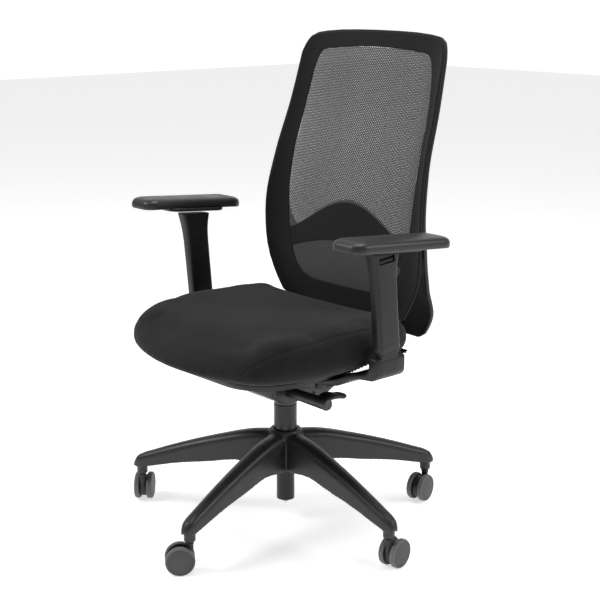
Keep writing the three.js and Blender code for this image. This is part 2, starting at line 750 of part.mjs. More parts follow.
// The J-shaped bracket runs back from the recline pin, under the seat, and widens into a scoop
// that turns up to meet the rear frame's yoke.
const bracketPath = new THREE.CatmullRomCurve3(
  [[36, 304], [90, 308], [140, 317], [188, 338], [215, 366], [226, YOKE_BOTTOM - 4]].map(
    ([y, z]) => new THREE.Vector3(0, y, z)));
const bracketHalfWidth = smoothCurve([[-1, 50], [-0.6, 51], [0, 92], [0.4, 152], [0.8, 186], [1, 191]]);
const BRACKET_THICKNESS = 13;
const BRACKET_DISH = 26; // how far the scoop's sides stand above its middle
const BRACKET_BOW = 10; // and how far they stand ahead of it at the yoke

function backBracket() {
  const bar = mappedBlock(6, 10, 1, (u, v, w) => {
    const along = (v + 1) / 2;
    const place = bracketPath.getPoint(along);
    const tangent = bracketPath.getTangent(along);
    const half = (BRACKET_THICKNESS / 2) * w;
    const lift = along < 1 ? BRACKET_DISH * u * u * Math.sin(Math.PI * along) * along : 0;
    return new THREE.Vector3(
      u * bracketHalfWidth(v),
      place.y - tangent.z * half - BRACKET_BOW * u * u * along ** 4,
      place.z + tangent.y * half + lift,
    );
  });
  const bossRoom = barZ(BOSS_RADIUS + 6, 250, 350, 24);
  const pinHole = barX(PIN_RADIUS + 0.2, -90, 90, 16).translate(0, RECLINE_AXIS.y, RECLINE_AXIS.z);
  return cut(bar, bossRoom, pinHole);
}

addMesh('back_bracket', backBracket(), FINISH.nylon);
addMesh('rear_frame', rearFrame(), FINISH.nylon);
addMesh('back_frame', innerFrame(), FINISH.nylon);
addMesh('back_cover', coverSheet(), FINISH.mesh);

export default group;
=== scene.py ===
"""Looks for a swivel office chair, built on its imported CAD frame. Metres, +Z up, the sitter faces -Y."""

import math

import bmesh
import bpy
import numpy as np
from mathutils import Matrix, Vector
from mathutils.bvhtree import BVHTree


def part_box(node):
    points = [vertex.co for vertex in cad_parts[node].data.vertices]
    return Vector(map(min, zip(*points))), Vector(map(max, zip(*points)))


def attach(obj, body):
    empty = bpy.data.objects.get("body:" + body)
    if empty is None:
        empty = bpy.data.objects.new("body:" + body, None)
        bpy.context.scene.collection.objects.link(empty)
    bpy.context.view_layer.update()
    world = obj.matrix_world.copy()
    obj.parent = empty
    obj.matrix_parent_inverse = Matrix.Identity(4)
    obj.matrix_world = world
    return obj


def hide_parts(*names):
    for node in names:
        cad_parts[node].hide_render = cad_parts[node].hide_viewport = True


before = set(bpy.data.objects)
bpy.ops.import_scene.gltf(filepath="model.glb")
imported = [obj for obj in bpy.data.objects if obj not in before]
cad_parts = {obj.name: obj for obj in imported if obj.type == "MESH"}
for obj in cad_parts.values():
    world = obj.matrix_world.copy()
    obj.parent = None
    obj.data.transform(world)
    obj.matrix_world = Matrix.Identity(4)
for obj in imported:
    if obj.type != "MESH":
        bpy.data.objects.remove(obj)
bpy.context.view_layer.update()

MM = 0.001

# ---------- mesh helpers ----------


def new_object(name, vertices, faces, material, smooth=True):
    """A mesh object from plain lists, shaded smooth unless told otherwise."""
    mesh = bpy.data.meshes.new(name)
    mesh.from_pydata([tuple(v) for v in vertices], [], [tuple(f) for f in faces])
    mesh.validate()
    mesh.update()
    piece = bpy.data.objects.new(name, mesh)
    bpy.context.scene.collection.objects.link(piece)
    mesh.shade_smooth() if smooth else mesh.shade_flat()
    mesh.materials.append(material)
    return piece


def loft(name, rings, material, caps=True, closed=False):
    """Skins a list of rings, each a closed loop of the same number of points."""
    rings = [np.asarray(ring, float) for ring in rings]
    count = len(rings[0])
    vertices = np.vstack(rings)
    faces = []
    spans = len(rings) if closed else len(rings) - 1
    for i in range(spans):
        a, b = i * count, ((i + 1) % len(rings)) * count
        for j in range(count):
            k = (j + 1) % count
            faces.append((a + j, a + k, b + k, b + j))
    if caps and not closed:
        faces.append(tuple(range(count - 1, -1, -1)))
        last = (len(rings) - 1) * count
        faces.append(tuple(range(last, last + count)))
    piece = new_object(name, vertices, faces, material)
    fix_normals(piece)
    return piece


def fix_normals(piece):
    mesh = bmesh.new()
    mesh.from_mesh(piece.data)
    bmesh.ops.recalc_face_normals(mesh, faces=mesh.faces)
    mesh.to_mesh(piece.data)
    mesh.free()


def turned(name, profile, material, segments=64, closed=False):
    """A lathe piece about Z. The profile is (radius, height) pairs; a closed one makes a ring."""
    angles = np.linspace(0, 2 * math.pi, segments, endpoint=False)
    circle = np.stack([np.cos(angles), np.sin(angles)], 1)
    rings = [np.column_stack([circle * max(radius, 1e-5), np.full(segments, height)]) for radius,
             height in profile]
    return loft(name, rings, material, closed=closed)


def rounded_profile(points, radius, steps=4):
    """A polyline of (radius, height) pairs with its inner corners turned into arcs."""
    points = [Vector(p) for p in points]
    smooth = [points[0]]
    for before, corner, after in zip(points, points[1:], points[2:]):
        reach = min(radius, (before - corner).length * 0.45, (after - corner).length * 0.45)
        start = corner + (before - corner).normalized() * reach
        end = corner + (after - corner).normalized() * reach
        for i in range(steps + 1):
            t = i / steps
            smooth.append(start.lerp(corner, t).lerp(corner.lerp(end, t), t))
    smooth.append(points[-1])
    return [(p.x, p.y) for p in smooth]


def rounded_rectangle(width, depth, radius, steps=8):
    """The outline of a rounded rectangle, counter-clockwise, as (x, y) points."""
    radius = min(radius, width / 2 - 1e-4, depth / 2 - 1e-4)
    points = []
    for quarter, (sx, sy) in enumerate(((1, 1), (-1, 1), (-1, -1), (1, -1))):
        for i in range(steps + 1):
            angle = math.radians(90 * quarter + 90 * i / steps)
            points.append((
                sx * (width / 2 - radius) + radius * math.cos(angle),
                sy * (depth / 2 - radius) + radius * math.sin(angle),
            ))
    return np.array(points)


def moved(piece, matrix):
    piece.data.transform(matrix)
    piece.data.update()
    return piece


def add_modifier(piece, kind, **settings):
    modifier = piece.modifiers.new(kind.lower(), kind)
    for key, value in settings.items():
        setattr(modifier, key, value)
    return modifier


def apply_modifiers(piece):
    """Turns the piece's modifiers into its mesh."""
    bpy.context.view_layer.update()
    evaluated = piece.evaluated_get(bpy.context.evaluated_depsgraph_get())
    mesh = bpy.data.meshes.new_from_object(evaluated)
    piece.modifiers.clear()
    piece.data = mesh
    return piece


def joined(name, pieces):
    """One object from several, which are used up."""
    mesh = bmesh.new()
    for piece in pieces:
        mesh.from_mesh(piece.data)
    merged = bpy.data.meshes.new(name)
    mesh.to_mesh(merged)
    mesh.free()
    merged.materials.append(pieces[0].data.materials[0])
    merged.shade_smooth()
    for piece in pieces:
        bpy.data.objects.remove(piece)
    whole = bpy.data.objects.new(name, merged)
    bpy.context.scene.collection.objects.link(whole)
    return whole


def smooth_curve(pairs):
    """A smooth function through (place, value) pairs in rising order."""
    places = np.array([p for p, _ in pairs], float)
    values = np.array([v for _, v in pairs], float)
    slopes = np.gradient(values, places)

    def at(place):
        i = int(np.clip(np.searchsorted(places, place) - 1, 0, len(places) - 2))
        width = places[i + 1] - places[i]
        t = (place - places[i]) / width
        return (
            (2 * t**3 - 3 * t**2 + 1) * values[i]
            + (t**3 - 2 * t**2 + t) * width * slopes[i]
            + (3 * t**2 - 2 * t**3) * values[i + 1]
            + (t**3 - t**2) * width * slopes[i + 1]
        )

    return at


def softened(node, name, material, bevel):
    """A copy of a CAD node with its flat facets merged and its edges rounded."""
    mesh = bmesh.new()
    mesh.from_mesh(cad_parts[node].data)
    bmesh.ops.remove_doubles(mesh, verts=mesh.verts, dist=1e-5)
    bmesh.ops.dissolve_limit(mesh, angle_limit=math.radians(2), verts=mesh.verts, edges=mesh.edges)
    copy = bpy.data.meshes.new(name)
    mesh.to_mesh(copy)
    mesh.free()
    copy.materials.clear()
    copy.materials.append(material)
    piece = bpy.data.objects.new(name, copy)
    bpy.context.scene.collection.objects.link(piece)
    add_modifier(piece, "BEVEL", width=bevel, segments=3, limit_method="ANGLE",
                 angle_limit=math.radians(35))
    apply_modifiers(piece)
    piece.data.shade_smooth()
    with bpy.context.temp_override(object=piece, selected_editable_objects=[piece]):
        bpy.ops.object.shade_smooth_by_angle(angle=math.radians(32))
    return piece


def finish_piece(piece, body, slot, *nodes):
    """Rides on its body and hides the CAD nodes that it stands for. The slot argument is not used."""
    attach(piece, body)
    if nodes:
        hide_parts(*nodes)
    return piece


# ---------- materials ----------


class Nodes:
    """Short hand for building a material's node tree around one Principled shader."""

    def __init__(self, name, color, roughness, **sockets):
        self.material = bpy.data.materials.new(name)
        self.material.use_nodes = True
        self.tree = self.material.node_tree
        self.shader = self.tree.nodes["Principled BSDF"]
        self.shader.inputs["Base Color"].default_value = (*color, 1)
        self.shader.inputs["Roughness"].default_value = roughness
        for socket, value in sockets.items():
            self.shader.inputs[socket.replace("_", " ")].default_value = value
        self.place = self.tree.nodes.new("ShaderNodeTexCoord").outputs["Object"]

    def node(self, kind, inputs=(), **settings):
        made = self.tree.nodes.new(kind)
        for key, value in settings.items():
            setattr(made, key, value)
        for socket, value in dict(inputs).items():
            if isinstance(value, bpy.types.NodeSocket):
                self.tree.links.new(value, made.inputs[socket])
            else:
                made.inputs[socket].default_value = value
        return made

    def noise(self, scale, detail=4, roughness=0.6):
        settings = {"Vector": self.place, "Scale": scale, "Detail": detail, "Roughness": roughness}
        return self.node("ShaderNodeTexNoise", settings).outputs["Fac"]

    def math(self, operation, a, b=0.0):
        made = self.node("ShaderNodeMath", {0: a, 1: b}, operation=operation)
        return made.outputs[0]

    def ramp(self, value, low, high):
        """The value remapped so that low gives 0 and high gives 1."""
        made = self.node("ShaderNodeMapRange", {"Value": value, "From Min": low, "From Max": high})
        return made.outputs["Result"]

    def color_between(self, factor, dark, light):
        made = self.node("ShaderNodeMix", {"Factor": factor}, data_type="RGBA")
        made.inputs[6].default_value = (*dark, 1)
        made.inputs[7].default_value = (*light, 1)
        self.tree.links.new(made.outputs[2], self.shader.inputs["Base Color"])
        return made.outputs[2]

    def rough_between(self, factor, low, high):
        made = self.node("ShaderNodeMapRange", {"Value": factor, "To Min": low, "To Max": high})
        self.tree.links.new(made.outputs["Result"], self.shader.inputs["Roughness"])

    def bump(self, height, distance, strength=1.0):
        made = self.node("ShaderNodeBump", {"Height": height, "Distance": distance, "Strength": strength})
        self.tree.links.new(made.outputs["Normal"], self.shader.inputs["Normal"])


def scaled(color, factor):
    return tuple(c * factor for c in color)


def moulded_plastic(name, color, roughness, grain=0.05 * MM, specular=0.5):
    """Spark-textured nylon: a fine even grain, cloudy gloss and a little dust in the colour."""
    nodes = Nodes(name, color, roughness, Specular_IOR_Level=specular)
    cloud = nodes.noise(28, 5)
    nodes.color_between(nodes.ramp(cloud, 0.3, 0.75), scaled(color, 0.82), scaled(color, 1.25))
    nodes.rough_between(nodes.ramp(cloud, 0.3, 0.7), roughness - 0.05, roughness + 0.07)
    nodes.bump(nodes.noise(1500, 3, 0.7), grain)
    return nodes.material


def coated_steel(name, color, roughness, metallic):
    """Powder coat or plated steel: a faint fine grain and a soft cloud in the gloss."""
    nodes = Nodes(name, color, roughness, Metallic=metallic)
    cloud = nodes.noise(40, 3)
    nodes.rough_between(nodes.ramp(cloud, 0.3, 0.7), roughness - 0.06, roughness + 0.06)
    nodes.color_between(nodes.ramp(cloud, 0.3, 0.7), scaled(color, 0.9), scaled(color, 1.1))
    nodes.bump(nodes.noise(900, 2), 0.02 * MM)
    return nodes.material


def waves(nodes, axes, pitch, phase=0.0):
    """A sine along a direction of the object's own space, from 0 to 1, one cycle each pitch."""
    direction = nodes.node("ShaderNodeVectorMath", {0: nodes.place, 1: axes}, operation="DOT_PRODUCT")
    angle = nodes.math("MULTIPLY", direction.outputs["Value"], 2 * math.pi / pitch)
    sine = nodes.math("SINE", nodes.math("ADD", angle, phase))
    return nodes.math("ADD", nodes.math("MULTIPLY", sine, 0.5), 0.5)


def woven_fabric(name, color, pitch, across, along, depth=0.25 * MM):
    """Crepe-weave upholstery: two crossing sets of yarns, flecked colour and a soft sheen."""
    nodes = Nodes(name, color, 0.95, Sheen_Weight=0.10, Sheen_Roughness=0.45, Specular_IOR_Level=0.12)
    warp = waves(nodes, across, pitch)
    weft = waves(nodes, along, pitch * 0.9, 1.2)
    check = nodes.math("MULTIPLY", waves(nodes, across, pitch * 2), waves(nodes, along, pitch * 1.8))
    yarns = nodes.math("MAXIMUM", nodes.math("MULTIPLY", warp, check), nodes.math("MULTIPLY", weft, 0.7))
    fleck = nodes.noise(900, 4, 0.7)
    cloud = nodes.noise(14, 3)
    height = nodes.math("ADD", yarns, nodes.math("MULTIPLY", fleck, 0.6))
    shade = nodes.math("ADD", nodes.math("MULTIPLY", nodes.ramp(fleck, 0.35, 0.7), 0.55),
                       nodes.math("MULTIPLY", nodes.ramp(cloud, 0.3, 0.7), 0.45))
    nodes.color_between(shade, scaled(color, 0.6), scaled(color, 1.7))
    nodes.bump(height, depth)
    return nodes.material


def knitted_fabric(name, color, pitch, depth=0.35 * MM):
    """Dense warp knit: staggered rows of small loops with ribs between them."""
    nodes = Nodes(name, color, 0.93, Sheen_Weight=0.08, Sheen_Roughness=0.5, Specular_IOR_Level=0.12)
    loops_left = waves(nodes, (1.0, 0.0, 0.62), pitch)
    loops_right = waves(nodes, (1.0, 0.0, -0.62), pitch)
    courses = waves(nodes, (0.0, 0.0, 1.0), pitch * 0.8)
    loops = nodes.math("MULTIPLY", loops_left, loops_right)
    fleck = nodes.noise(700, 3, 0.7)
    height = nodes.math("ADD", nodes.math("ADD", loops, nodes.math("MULTIPLY", courses, 0.5)),
                        nodes.math("MULTIPLY", fleck, 0.5))
    shade = nodes.math("ADD", nodes.math("MULTIPLY", loops, 0.6),
                       nodes.math("MULTIPLY", nodes.ramp(fleck, 0.3, 0.7), 0.4))
    nodes.color_between(shade, scaled(color, 0.45), scaled(color, 1.7))
    nodes.bump(height, depth)
    return nodes.material


def yarn(name, color):
    """Polyester monofilament and yarn of the open net: slightly glossy and uneven."""
    nodes = Nodes(name, color, 0.6, Sheen_Weight=0.2, Specular_IOR_Level=0.4)
    fleck = nodes.noise(500, 3)
    nodes.color_between(nodes.ramp(fleck, 0.3, 0.7), scaled(color, 0.6), scaled(color, 1.5))
    nodes.bump(nodes.noise(2500, 2), 0.05 * MM)
    return nodes.material


def skinned_foam(name, color):
    """Self-skinned polyurethane: a fine leathery pebble under a soft uneven gloss."""
    nodes = Nodes(name, color, 0.42, Specular_IOR_Level=0.5, Coat_Weight=0.08, Coat_Roughness=0.4)
    pebble = nodes.node("ShaderNodeTexVoronoi", {"Vector": nodes.place, "Scale": 900}).outputs["Distance"]
    cloud = nodes.noise(22, 4)
    nodes.rough_between(nodes.ramp(cloud, 0.3, 0.7), 0.36, 0.5)
    nodes.color_between(nodes.ramp(cloud, 0.3, 0.7), scaled(color, 0.8), scaled(color, 1.25))
    nodes.bump(nodes.math("ADD", pebble, nodes.noise(2000, 2)), 0.04 * MM)
    return nodes.material


base_nylon = moulded_plastic("base_nylon", (0.018, 0.018, 0.019), 0.42)
frame_nylon = moulded_plastic("frame_nylon", (0.010, 0.010, 0.011), 0.5, specular=0.35)
arm_nylon = moulded_plastic("arm_nylon", (0.007, 0.007, 0.0075), 0.42, specular=0.4)
caster_nylon = moulded_plastic("caster_nylon", (0.014, 0.012, 0.011), 0.5)
wheel_disc = moulded_plastic("wheel_disc", (0.055, 0.053, 0.052), 0.5)
wheel_tread = moulded_plastic("wheel_tread", (0.13, 0.127, 0.123), 0.62, 0.08 * MM)
grey_plastic = moulded_plastic("grey_plastic", (0.035, 0.035, 0.037), 0.4)
bush_plastic = moulded_plastic("bush_plastic", (0.10, 0.095, 0.085), 0.4)
black_steel = coated_steel("black_steel", (0.010, 0.010, 0.011), 0.28, 0.2)
plated_steel = coated_steel("plated_steel", (0.5, 0.5, 0.51), 0.3, 1.0)
seat_fabric = woven_fabric("seat_fabric", (0.0135, 0.0135, 0.0145), 1.3 * MM, (1, 0.15, 0.2),
                           (-0.15, 1, 0.6))
seam_thread = woven_fabric("seam_thread", (0.028, 0.028, 0.030), 0.8 * MM, (1, 0, 0.3), (0, 1, 0.5),
                           0.1 * MM)
border_knit = knitted_fabric("border_knit", (0.016, 0.016, 0.017), 1.7 * MM)
net_yarn = yarn("net_yarn", (0.058, 0.059, 0.062))
pad_skin = skinned_foam("pad_skin", (0.012, 0.012, 0.0125))

# ---------- star base ----------

ARM_COUNT = 5
STEMS = [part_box(f"caster_stem_{i + 1}") for i in range(ARM_COUNT)]
STEM_PLACES = [((low + high) / 2).to_2d() for low, high in STEMS]
BASE_LOW, BASE_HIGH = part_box("star_base")
SOCKET_BOTTOM = BASE_LOW.z
HUB_TOP = BASE_HIGH.z
HUB_BOTTOM = HUB_TOP - 88 * MM


def arm_section(radius, top, bottom, half_top, half_bottom, crown):
    """An arm's section at one radius: a channel, open below, under a rounded ridge."""
    wall = 4.5 * MM
    outside = [(-half_bottom, bottom)]
    for i in range(13):
        angle = math.pi * (1 - i / 12)
        spread = math.cos(angle)
        lift = math.sin(angle) ** 0.7
        half = half_bottom + (half_top - half_bottom) * (0.35 + 0.65 * lift)
        outside.append((spread * half, top - crown + crown * lift))
    outside.append((half_bottom, bottom))
    roof = top - crown - wall
    inside = [(half_bottom - wall, bottom), (half_top - wall * 1.2, max(roof, bottom + 2 * MM)),
              (-half_top + wall * 1.2, max(roof, bottom + 2 * MM)), (-half_bottom + wall, bottom)]
    return [(radius, across, height) for across, height in outside + inside]


def star_arm():
    """One arm along +X. Heights and widths change smoothly from the hub to the tip."""
    top = smooth_curve([(20, 201), (75, 196), (150, 177), (240, 149), (308, 124), (335, 113), (348, 103),
                        (353, 92)])
    bottom = smooth_curve([(20, 120), (50, 121), (100, 128), (170, 117), (250, 104), (318, 88), (335, 84),
                           (353, 84)])
    half = smooth_curve([(20, 25), (60, 24), (150, 21.5), (250, 18.5), (320, 16), (340, 14.5), (349, 10.5),
                         (353, 7)])
    places = [20, 35, 50, 70, 90, 110, 135, 160, 185, 210, 235, 260, 282, 300, 314, 324, 332, 339, 345, 349,
              352, 353]
    rings = []
    for place in places:
        width = half(place)
        crown = min(16, 0.42 * (top(place) - bottom(place)))
        values = (place, top(place), bottom(place), width * 0.8, width, crown)
        rings.append(arm_section(*(value * MM for value in values)))
    return loft("arm", rings, base_nylon)


def star_base():
    """Arms, hub and caster sockets, fused and filleted like one moulding."""
    parts = []
    for place in STEM_PLACES:
        turn = Matrix.Rotation(math.atan2(place.y, place.x), 4, "Z")
        parts.append(moved(star_arm(), turn))
        socket = turned("socket",
                        [(0, 104 * MM), (12.5 * MM, 104 * MM), (11.8 * MM, SOCKET_BOTTOM + 10 * MM),
                                   (11.8 * MM, SOCKET_BOTTOM + 1 * MM), (10.8 * MM, SOCKET_BOTTOM),
                                   (0, SOCKET_BOTTOM)],
                        base_nylon, 32)
        parts.append(moved(socket, Matrix.Translation((place.x, place.y, 0))))
    hub = rounded_profile([(25.4 * MM, HUB_TOP), (33 * MM, HUB_TOP), (36 * MM, HUB_TOP - 8 * MM),
                           (40 * MM, 150 * MM),
                           (38 * MM, HUB_BOTTOM), (20 * MM, HUB_BOTTOM)], 4 * MM)
    inner = [(20 * MM, HUB_BOTTOM), (25.4 * MM, HUB_TOP - 12 * MM)]
    parts.append(turned("hub", hub + inner[1:], base_nylon, 96, closed=True))
    base = joined("base_star", parts)
    add_modifier(base, "REMESH", mode="VOXEL", voxel_size=1.7 * MM, use_smooth_shade=True)
    add_modifier(base, "SMOOTH", factor=0.5, iterations=5)
    apply_modifiers(base)
    base.data.shade_smooth()
    return finish_piece(base, "base", "base_nylon", "star_base")


# ---------- gas lift ----------


def gas_lift():
    tube_low, tube_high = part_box("gas_cylinder")
    radius = (tube_high.x - tube_low.x) / 2
    bush_low, bush_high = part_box("guide_bush")
    spindle_low, spindle_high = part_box("gas_spindle")
    tube = rounded_profile([(6 * MM, tube_low.z), (19.5 * MM, tube_low.z), (19.5 * MM, HUB_BOTTOM),
                            (radius, HUB_TOP - 14 * MM),
                            (radius, tube_high.z), (22 * MM, tube_high.z), (22 * MM, HUB_TOP - 14 * MM),
                            (6 * MM, tube_low.z + 5 * MM)],
                           1.2 * MM)
    finish_piece(turned("lift_tube", tube, black_steel, 96, closed=True), "base", "black_steel",
                 "gas_cylinder")
    bush = rounded_profile([(14.3 * MM, bush_low.z), (21.7 * MM, bush_low.z),
                            (21.7 * MM, tube_high.z + 0.3 * MM),
                            (24 * MM, tube_high.z + 0.3 * MM), (23.4 * MM, bush_high.z),
                            (14.3 * MM, bush_high.z)], 0.8 * MM)
    finish_piece(turned("lift_bush", bush, bush_plastic, 96, closed=True), "base", "bush", "guide_bush")
    spindle = rounded_profile([(0, spindle_low.z), (14 * MM, spindle_low.z),
                               (14 * MM, spindle_high.z - 46 * MM),
                               (13 * MM, spindle_high.z - 0.5 * MM), (3.4 * MM, spindle_high.z - 0.5 * MM)],
                               1 * MM)
    finish_piece(turned("lift_spindle", spindle, black_steel, 96), "lift", "black_steel", "gas_spindle")


# ---------- casters ----------

CASTER_TRAIL = 20 * MM
WHEEL_RADIUS = 30 * MM


def caster_frame(number):
    """The matrix of a caster: its stem on the origin, its axle along Y, trailing along +X."""
    low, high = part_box(f"caster_stem_{number}")
    stem = (low + high) / 2
    low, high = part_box(f"caster_axle_{number}")
    axle = (low + high) / 2
    heading = math.atan2(axle.y - stem.y, axle.x - stem.x)
    return Matrix.Translation((stem.x, stem.y, 0)) @ Matrix.Rotation(heading, 4, "Z")


def wheel_pieces(number, letter, side, place):
    """A wheel is a dished disc inside a slightly softer tread ring."""
    to_axle = place @ Matrix.Translation((CASTER_TRAIL, 0,
                                          WHEEL_RADIUS)) @ Matrix.Rotation(-side * math.pi / 2, 4, "X")
    disc = rounded_profile([(3.9 * MM, 8.6 * MM), (9 * MM, 8.6 * MM), (10 * MM, 9.6 * MM),
                            (25.6 * MM, 9.6 * MM), (26.2 * MM, 8.4 * MM),
                            (26.6 * MM, 18.6 * MM), (25.6 * MM, 19.2 * MM), (24.6 * MM, 18.8 * MM),
                            (20 * MM, 19.4 * MM),
                            (10 * MM, 20 * MM), (0, 20.1 * MM)], 0.7 * MM, 3)
    disc = turned(f"wheel_disc_{number}{letter}", [(0, 17 * MM), (3.9 * MM, 17 * MM)] + disc, wheel_disc,
                  72)
    finish_piece(moved(disc, to_axle), f"wheel_{number}{letter}", "wheel", f"caster_wheel_{number}{letter}")
    tread = rounded_profile([(26.4 * MM, 8.2 * MM), (28.6 * MM, 8.0 * MM), (WHEEL_RADIUS, 10 * MM),
                             (WHEEL_RADIUS, 16.4 * MM),
                             (28.6 * MM, 19.2 * MM), (26.5 * MM, 19.4 * MM)], 1.3 * MM, 4)
    tread = turned(f"wheel_tread_{number}{letter}", tread, wheel_tread, 96, closed=True)
    finish_piece(moved(tread, to_axle), f"wheel_{number}{letter}", "wheel")


def caster_hood(number, place):
    """The hood between the wheels and the neck round the stem, fused into one moulding."""
    rings = []
    for across, inset in ((-7.3, 2.5), (-7.3, 1), (-6.4, 0), (6.4, 0), (7.3, 1), (7.3, 2.5)):
        angles = np.linspace(0, 2 * math.pi, 72, endpoint=False)
        radius = (24 - inset) * MM
        rings.append([(CASTER_TRAIL + radius * math.cos(a), across * MM,
                       WHEEL_RADIUS + radius * math.sin(a)) for a in angles])
    disc = loft("disc", rings, caster_nylon)
    neck = turned("neck",
                  rounded_profile([(0, 34 * MM), (7.2 * MM, 34 * MM), (7.2 * MM, 60 * MM),
                                   (8.2 * MM, 62 * MM), (8.2 * MM, 65 * MM),
                                           (6 * MM, 66 * MM), (0, 66 * MM)], 0.8 * MM), caster_nylon, 48)
    hood = joined(f"caster_body_{number}", [disc, neck])
    add_modifier(hood, "REMESH", mode="VOXEL", voxel_size=0.8 * MM, use_smooth_shade=True)
    add_modifier(hood, "SMOOTH", factor=0.5, iterations=4)
    apply_modifiers(hood)
    hood.data.shade_smooth()
    finish_piece(moved(hood, place), f"caster_{number}", "caster_nylon", f"caster_hood_{number}")


def casters():
    for number in range(1, ARM_COUNT + 1):
        place = caster_frame(number)
        caster_hood(number, place)
        wheel_pieces(number, "a", 1, place)
        wheel_pieces(number, "b", -1, place)


# ---------- tilt mechanism and levers ----------


def screw_head(name, center, direction, radius, material):
    """A pan-head screw with a round socket."""
    profile = rounded_profile([(radius * 0.45, 0.2 * radius), (radius * 0.45, 0.62 * radius),
                               (radius * 0.8, 0.62 * radius),
                               (radius, 0.25 * radius), (radius, 0)], radius * 0.15, 3)
    head = turned(name, [(0, 0.2 * radius)] + profile + [(0, 0)], material, 24)
    turn = Vector(direction).to_track_quat("Z", "Y").to_matrix().to_4x4()
    return moved(head, Matrix.Translation(center) @ turn)


def mechanism():
    housing = softened("mechanism_housing", "tilt_housing", base_nylon, 1.6 * MM)
    finish_piece(housing, "lift", "base_nylon", "mechanism_housing")
    low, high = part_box("mechanism_housing")
    for i, (y, z) in enumerate(((-8, 292), (30, 290), (72, 298))):
        for side, face in ((1, high.x), (-1, low.x)):
            head = screw_head(f"housing_screw_{i}_{'l' if side > 0 else 'r'}", (face, y * MM, z * MM),
                              (side, 0, 0), 3.5 * MM, black_steel)
            finish_piece(head, "lift", "black_steel")
    finish_piece(softened("seat_plate", "seat_plate_pressed", black_steel, 1.2 * MM), "seat", "black_steel",
                 "seat_plate")


def lever_axis():
    low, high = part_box("lever_cap")
    return (low.y + high.y) / 2, (low.z + high.z) / 2


def along_x(piece):
    """Turns a lathe piece from Z to X and puts it on the levers' axis."""
    y, z = lever_axis()
    return moved(piece, Matrix.Translation((0, y, z)) @ Matrix.Rotation(math.pi / 2, 4, "Y"))


def levers():
    cap_low, cap_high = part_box("lever_cap")
    grip_low, grip_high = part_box("tension_grip")
    grip = rounded_profile([(4.6 * MM, grip_low.x), (6.6 * MM, grip_low.x), (6.6 * MM, grip_low.x + 9 * MM),
                            (11.2 * MM, grip_low.x + 9 * MM),
                            (11.8 * MM, grip_high.x), (4.6 * MM, grip_high.x)], 1 * MM)
    finish_piece(along_x(turned("tension_sleeve", grip, base_nylon, 72, closed=True)), "tension_grip",
                 "base_nylon", "tension_grip")
    start, end = grip_high.x + 0.8 * MM, cap_low.x - 0.2 * MM
    tube = rounded_profile([(0, start), (12 * MM, start), (12.6 * MM, end), (0, end)], 1.2 * MM)
    tube = along_x(turned("lever_tube", tube, base_nylon, 72))
    shaft = along_x(turned("shaft", [(0, 41 * MM), (4 * MM, 41 * MM), (4 * MM, start), (0, start)],
                           base_nylon, 24))
    lever = joined("lever_body", [tube, shaft, lever_paddle("left", (124 * MM, 164 * MM), 72 * MM)])
    finish_piece(lever, "height_lever", "base_nylon", "height_lever")
    cap = rounded_profile([(0, cap_low.x), (12.9 * MM, cap_low.x), (13.1 * MM, cap_high.x - 4 * MM),
                           (10.8 * MM, cap_high.x),
                           (4 * MM, cap_high.x - 0.6 * MM), (0, cap_high.x - 0.8 * MM)], 1.2 * MM)
    finish_piece(along_x(turned("lever_end", cap, grey_plastic, 72)), "height_lever", "grey_cap",
                 "lever_cap")
    lock_low, lock_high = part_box("tilt_lock_lever")
    shaft = rounded_profile([(0, lock_low.x + 32 * MM), (6.7 * MM, lock_low.x + 32 * MM),
                             (6.7 * MM, lock_high.x), (0, lock_high.x)], 1 * MM)
    shaft = along_x(turned("lock_shaft", shaft, base_nylon, 48))
    lock = joined("lock_body", [shaft, lever_paddle("right", (lock_low.x, lock_low.x + 42 * MM), 48 * MM)])
    finish_piece(lock, "tilt_lock", "base_nylon", "tilt_lock_lever")


def lever_paddle(name, span, reach):
    """A flat finger paddle that runs rearward from the lever's tube and curls up a little."""
    y, z = lever_axis()
    middle, width = sum(span) / 2, span[1] - span[0]
    rings = []
    for t in np.linspace(0, 1, 14):
        rounding = math.sqrt(max(0.0, 1 - max(0.0, (t - 0.72) / 0.28) ** 2)) * 0.75 + 0.25
        thickness = (10 - 4.5 * t) * MM * (1 if t < 0.97 else 0.6)
        outline = rounded_rectangle(width * (0.7 + 0.3 * min(1, t * 2)) * rounding, thickness,
                                    thickness * 0.45, 4)
        rise = (7 * math.sin(math.pi * min(1, t * 1.25)) + 3 * t * t) * MM
        rings.append([(middle + a, y - 3 * MM + reach * t, z + rise + b) for a, b in outline])
    return loft(f"paddle_{name}", rings, base_nylon)


# ---------- seat ----------

SEAT_LOW, SEAT_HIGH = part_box("seat_cushion")
SEAT_MIDDLE = (SEAT_LOW.y + SEAT_HIGH.y) / 2
SEAT_HALF_DEPTH = (SEAT_HIGH.y - SEAT_LOW.y) / 2
SEAT_HALF_WIDTH = (SEAT_HIGH.x - SEAT_LOW.x) / 2

seat_top = smooth_curve([(-0.31, 0.424), (-0.28, 0.438), (-0.24, 0.453), (-0.19, 0.463), (-0.10, 0.468),
                         (0.08, 0.468), (0.18, 0.461)])


def seat_plan(u, v, inset):
    """A place on the seat's plan: a square, well rounded in front and a little narrower at the rear."""
    roundness, narrowing = (0.12, 1 - 0.07 * v) if v > 0 else (0.36, 1)
    return (
        u * math.sqrt(1 - roundness * v * v) * (SEAT_HALF_WIDTH - inset) * narrowing,
        SEAT_MIDDLE + v * math.sqrt(1 - roundness * u * u) * (SEAT_HALF_DEPTH - inset),
    )


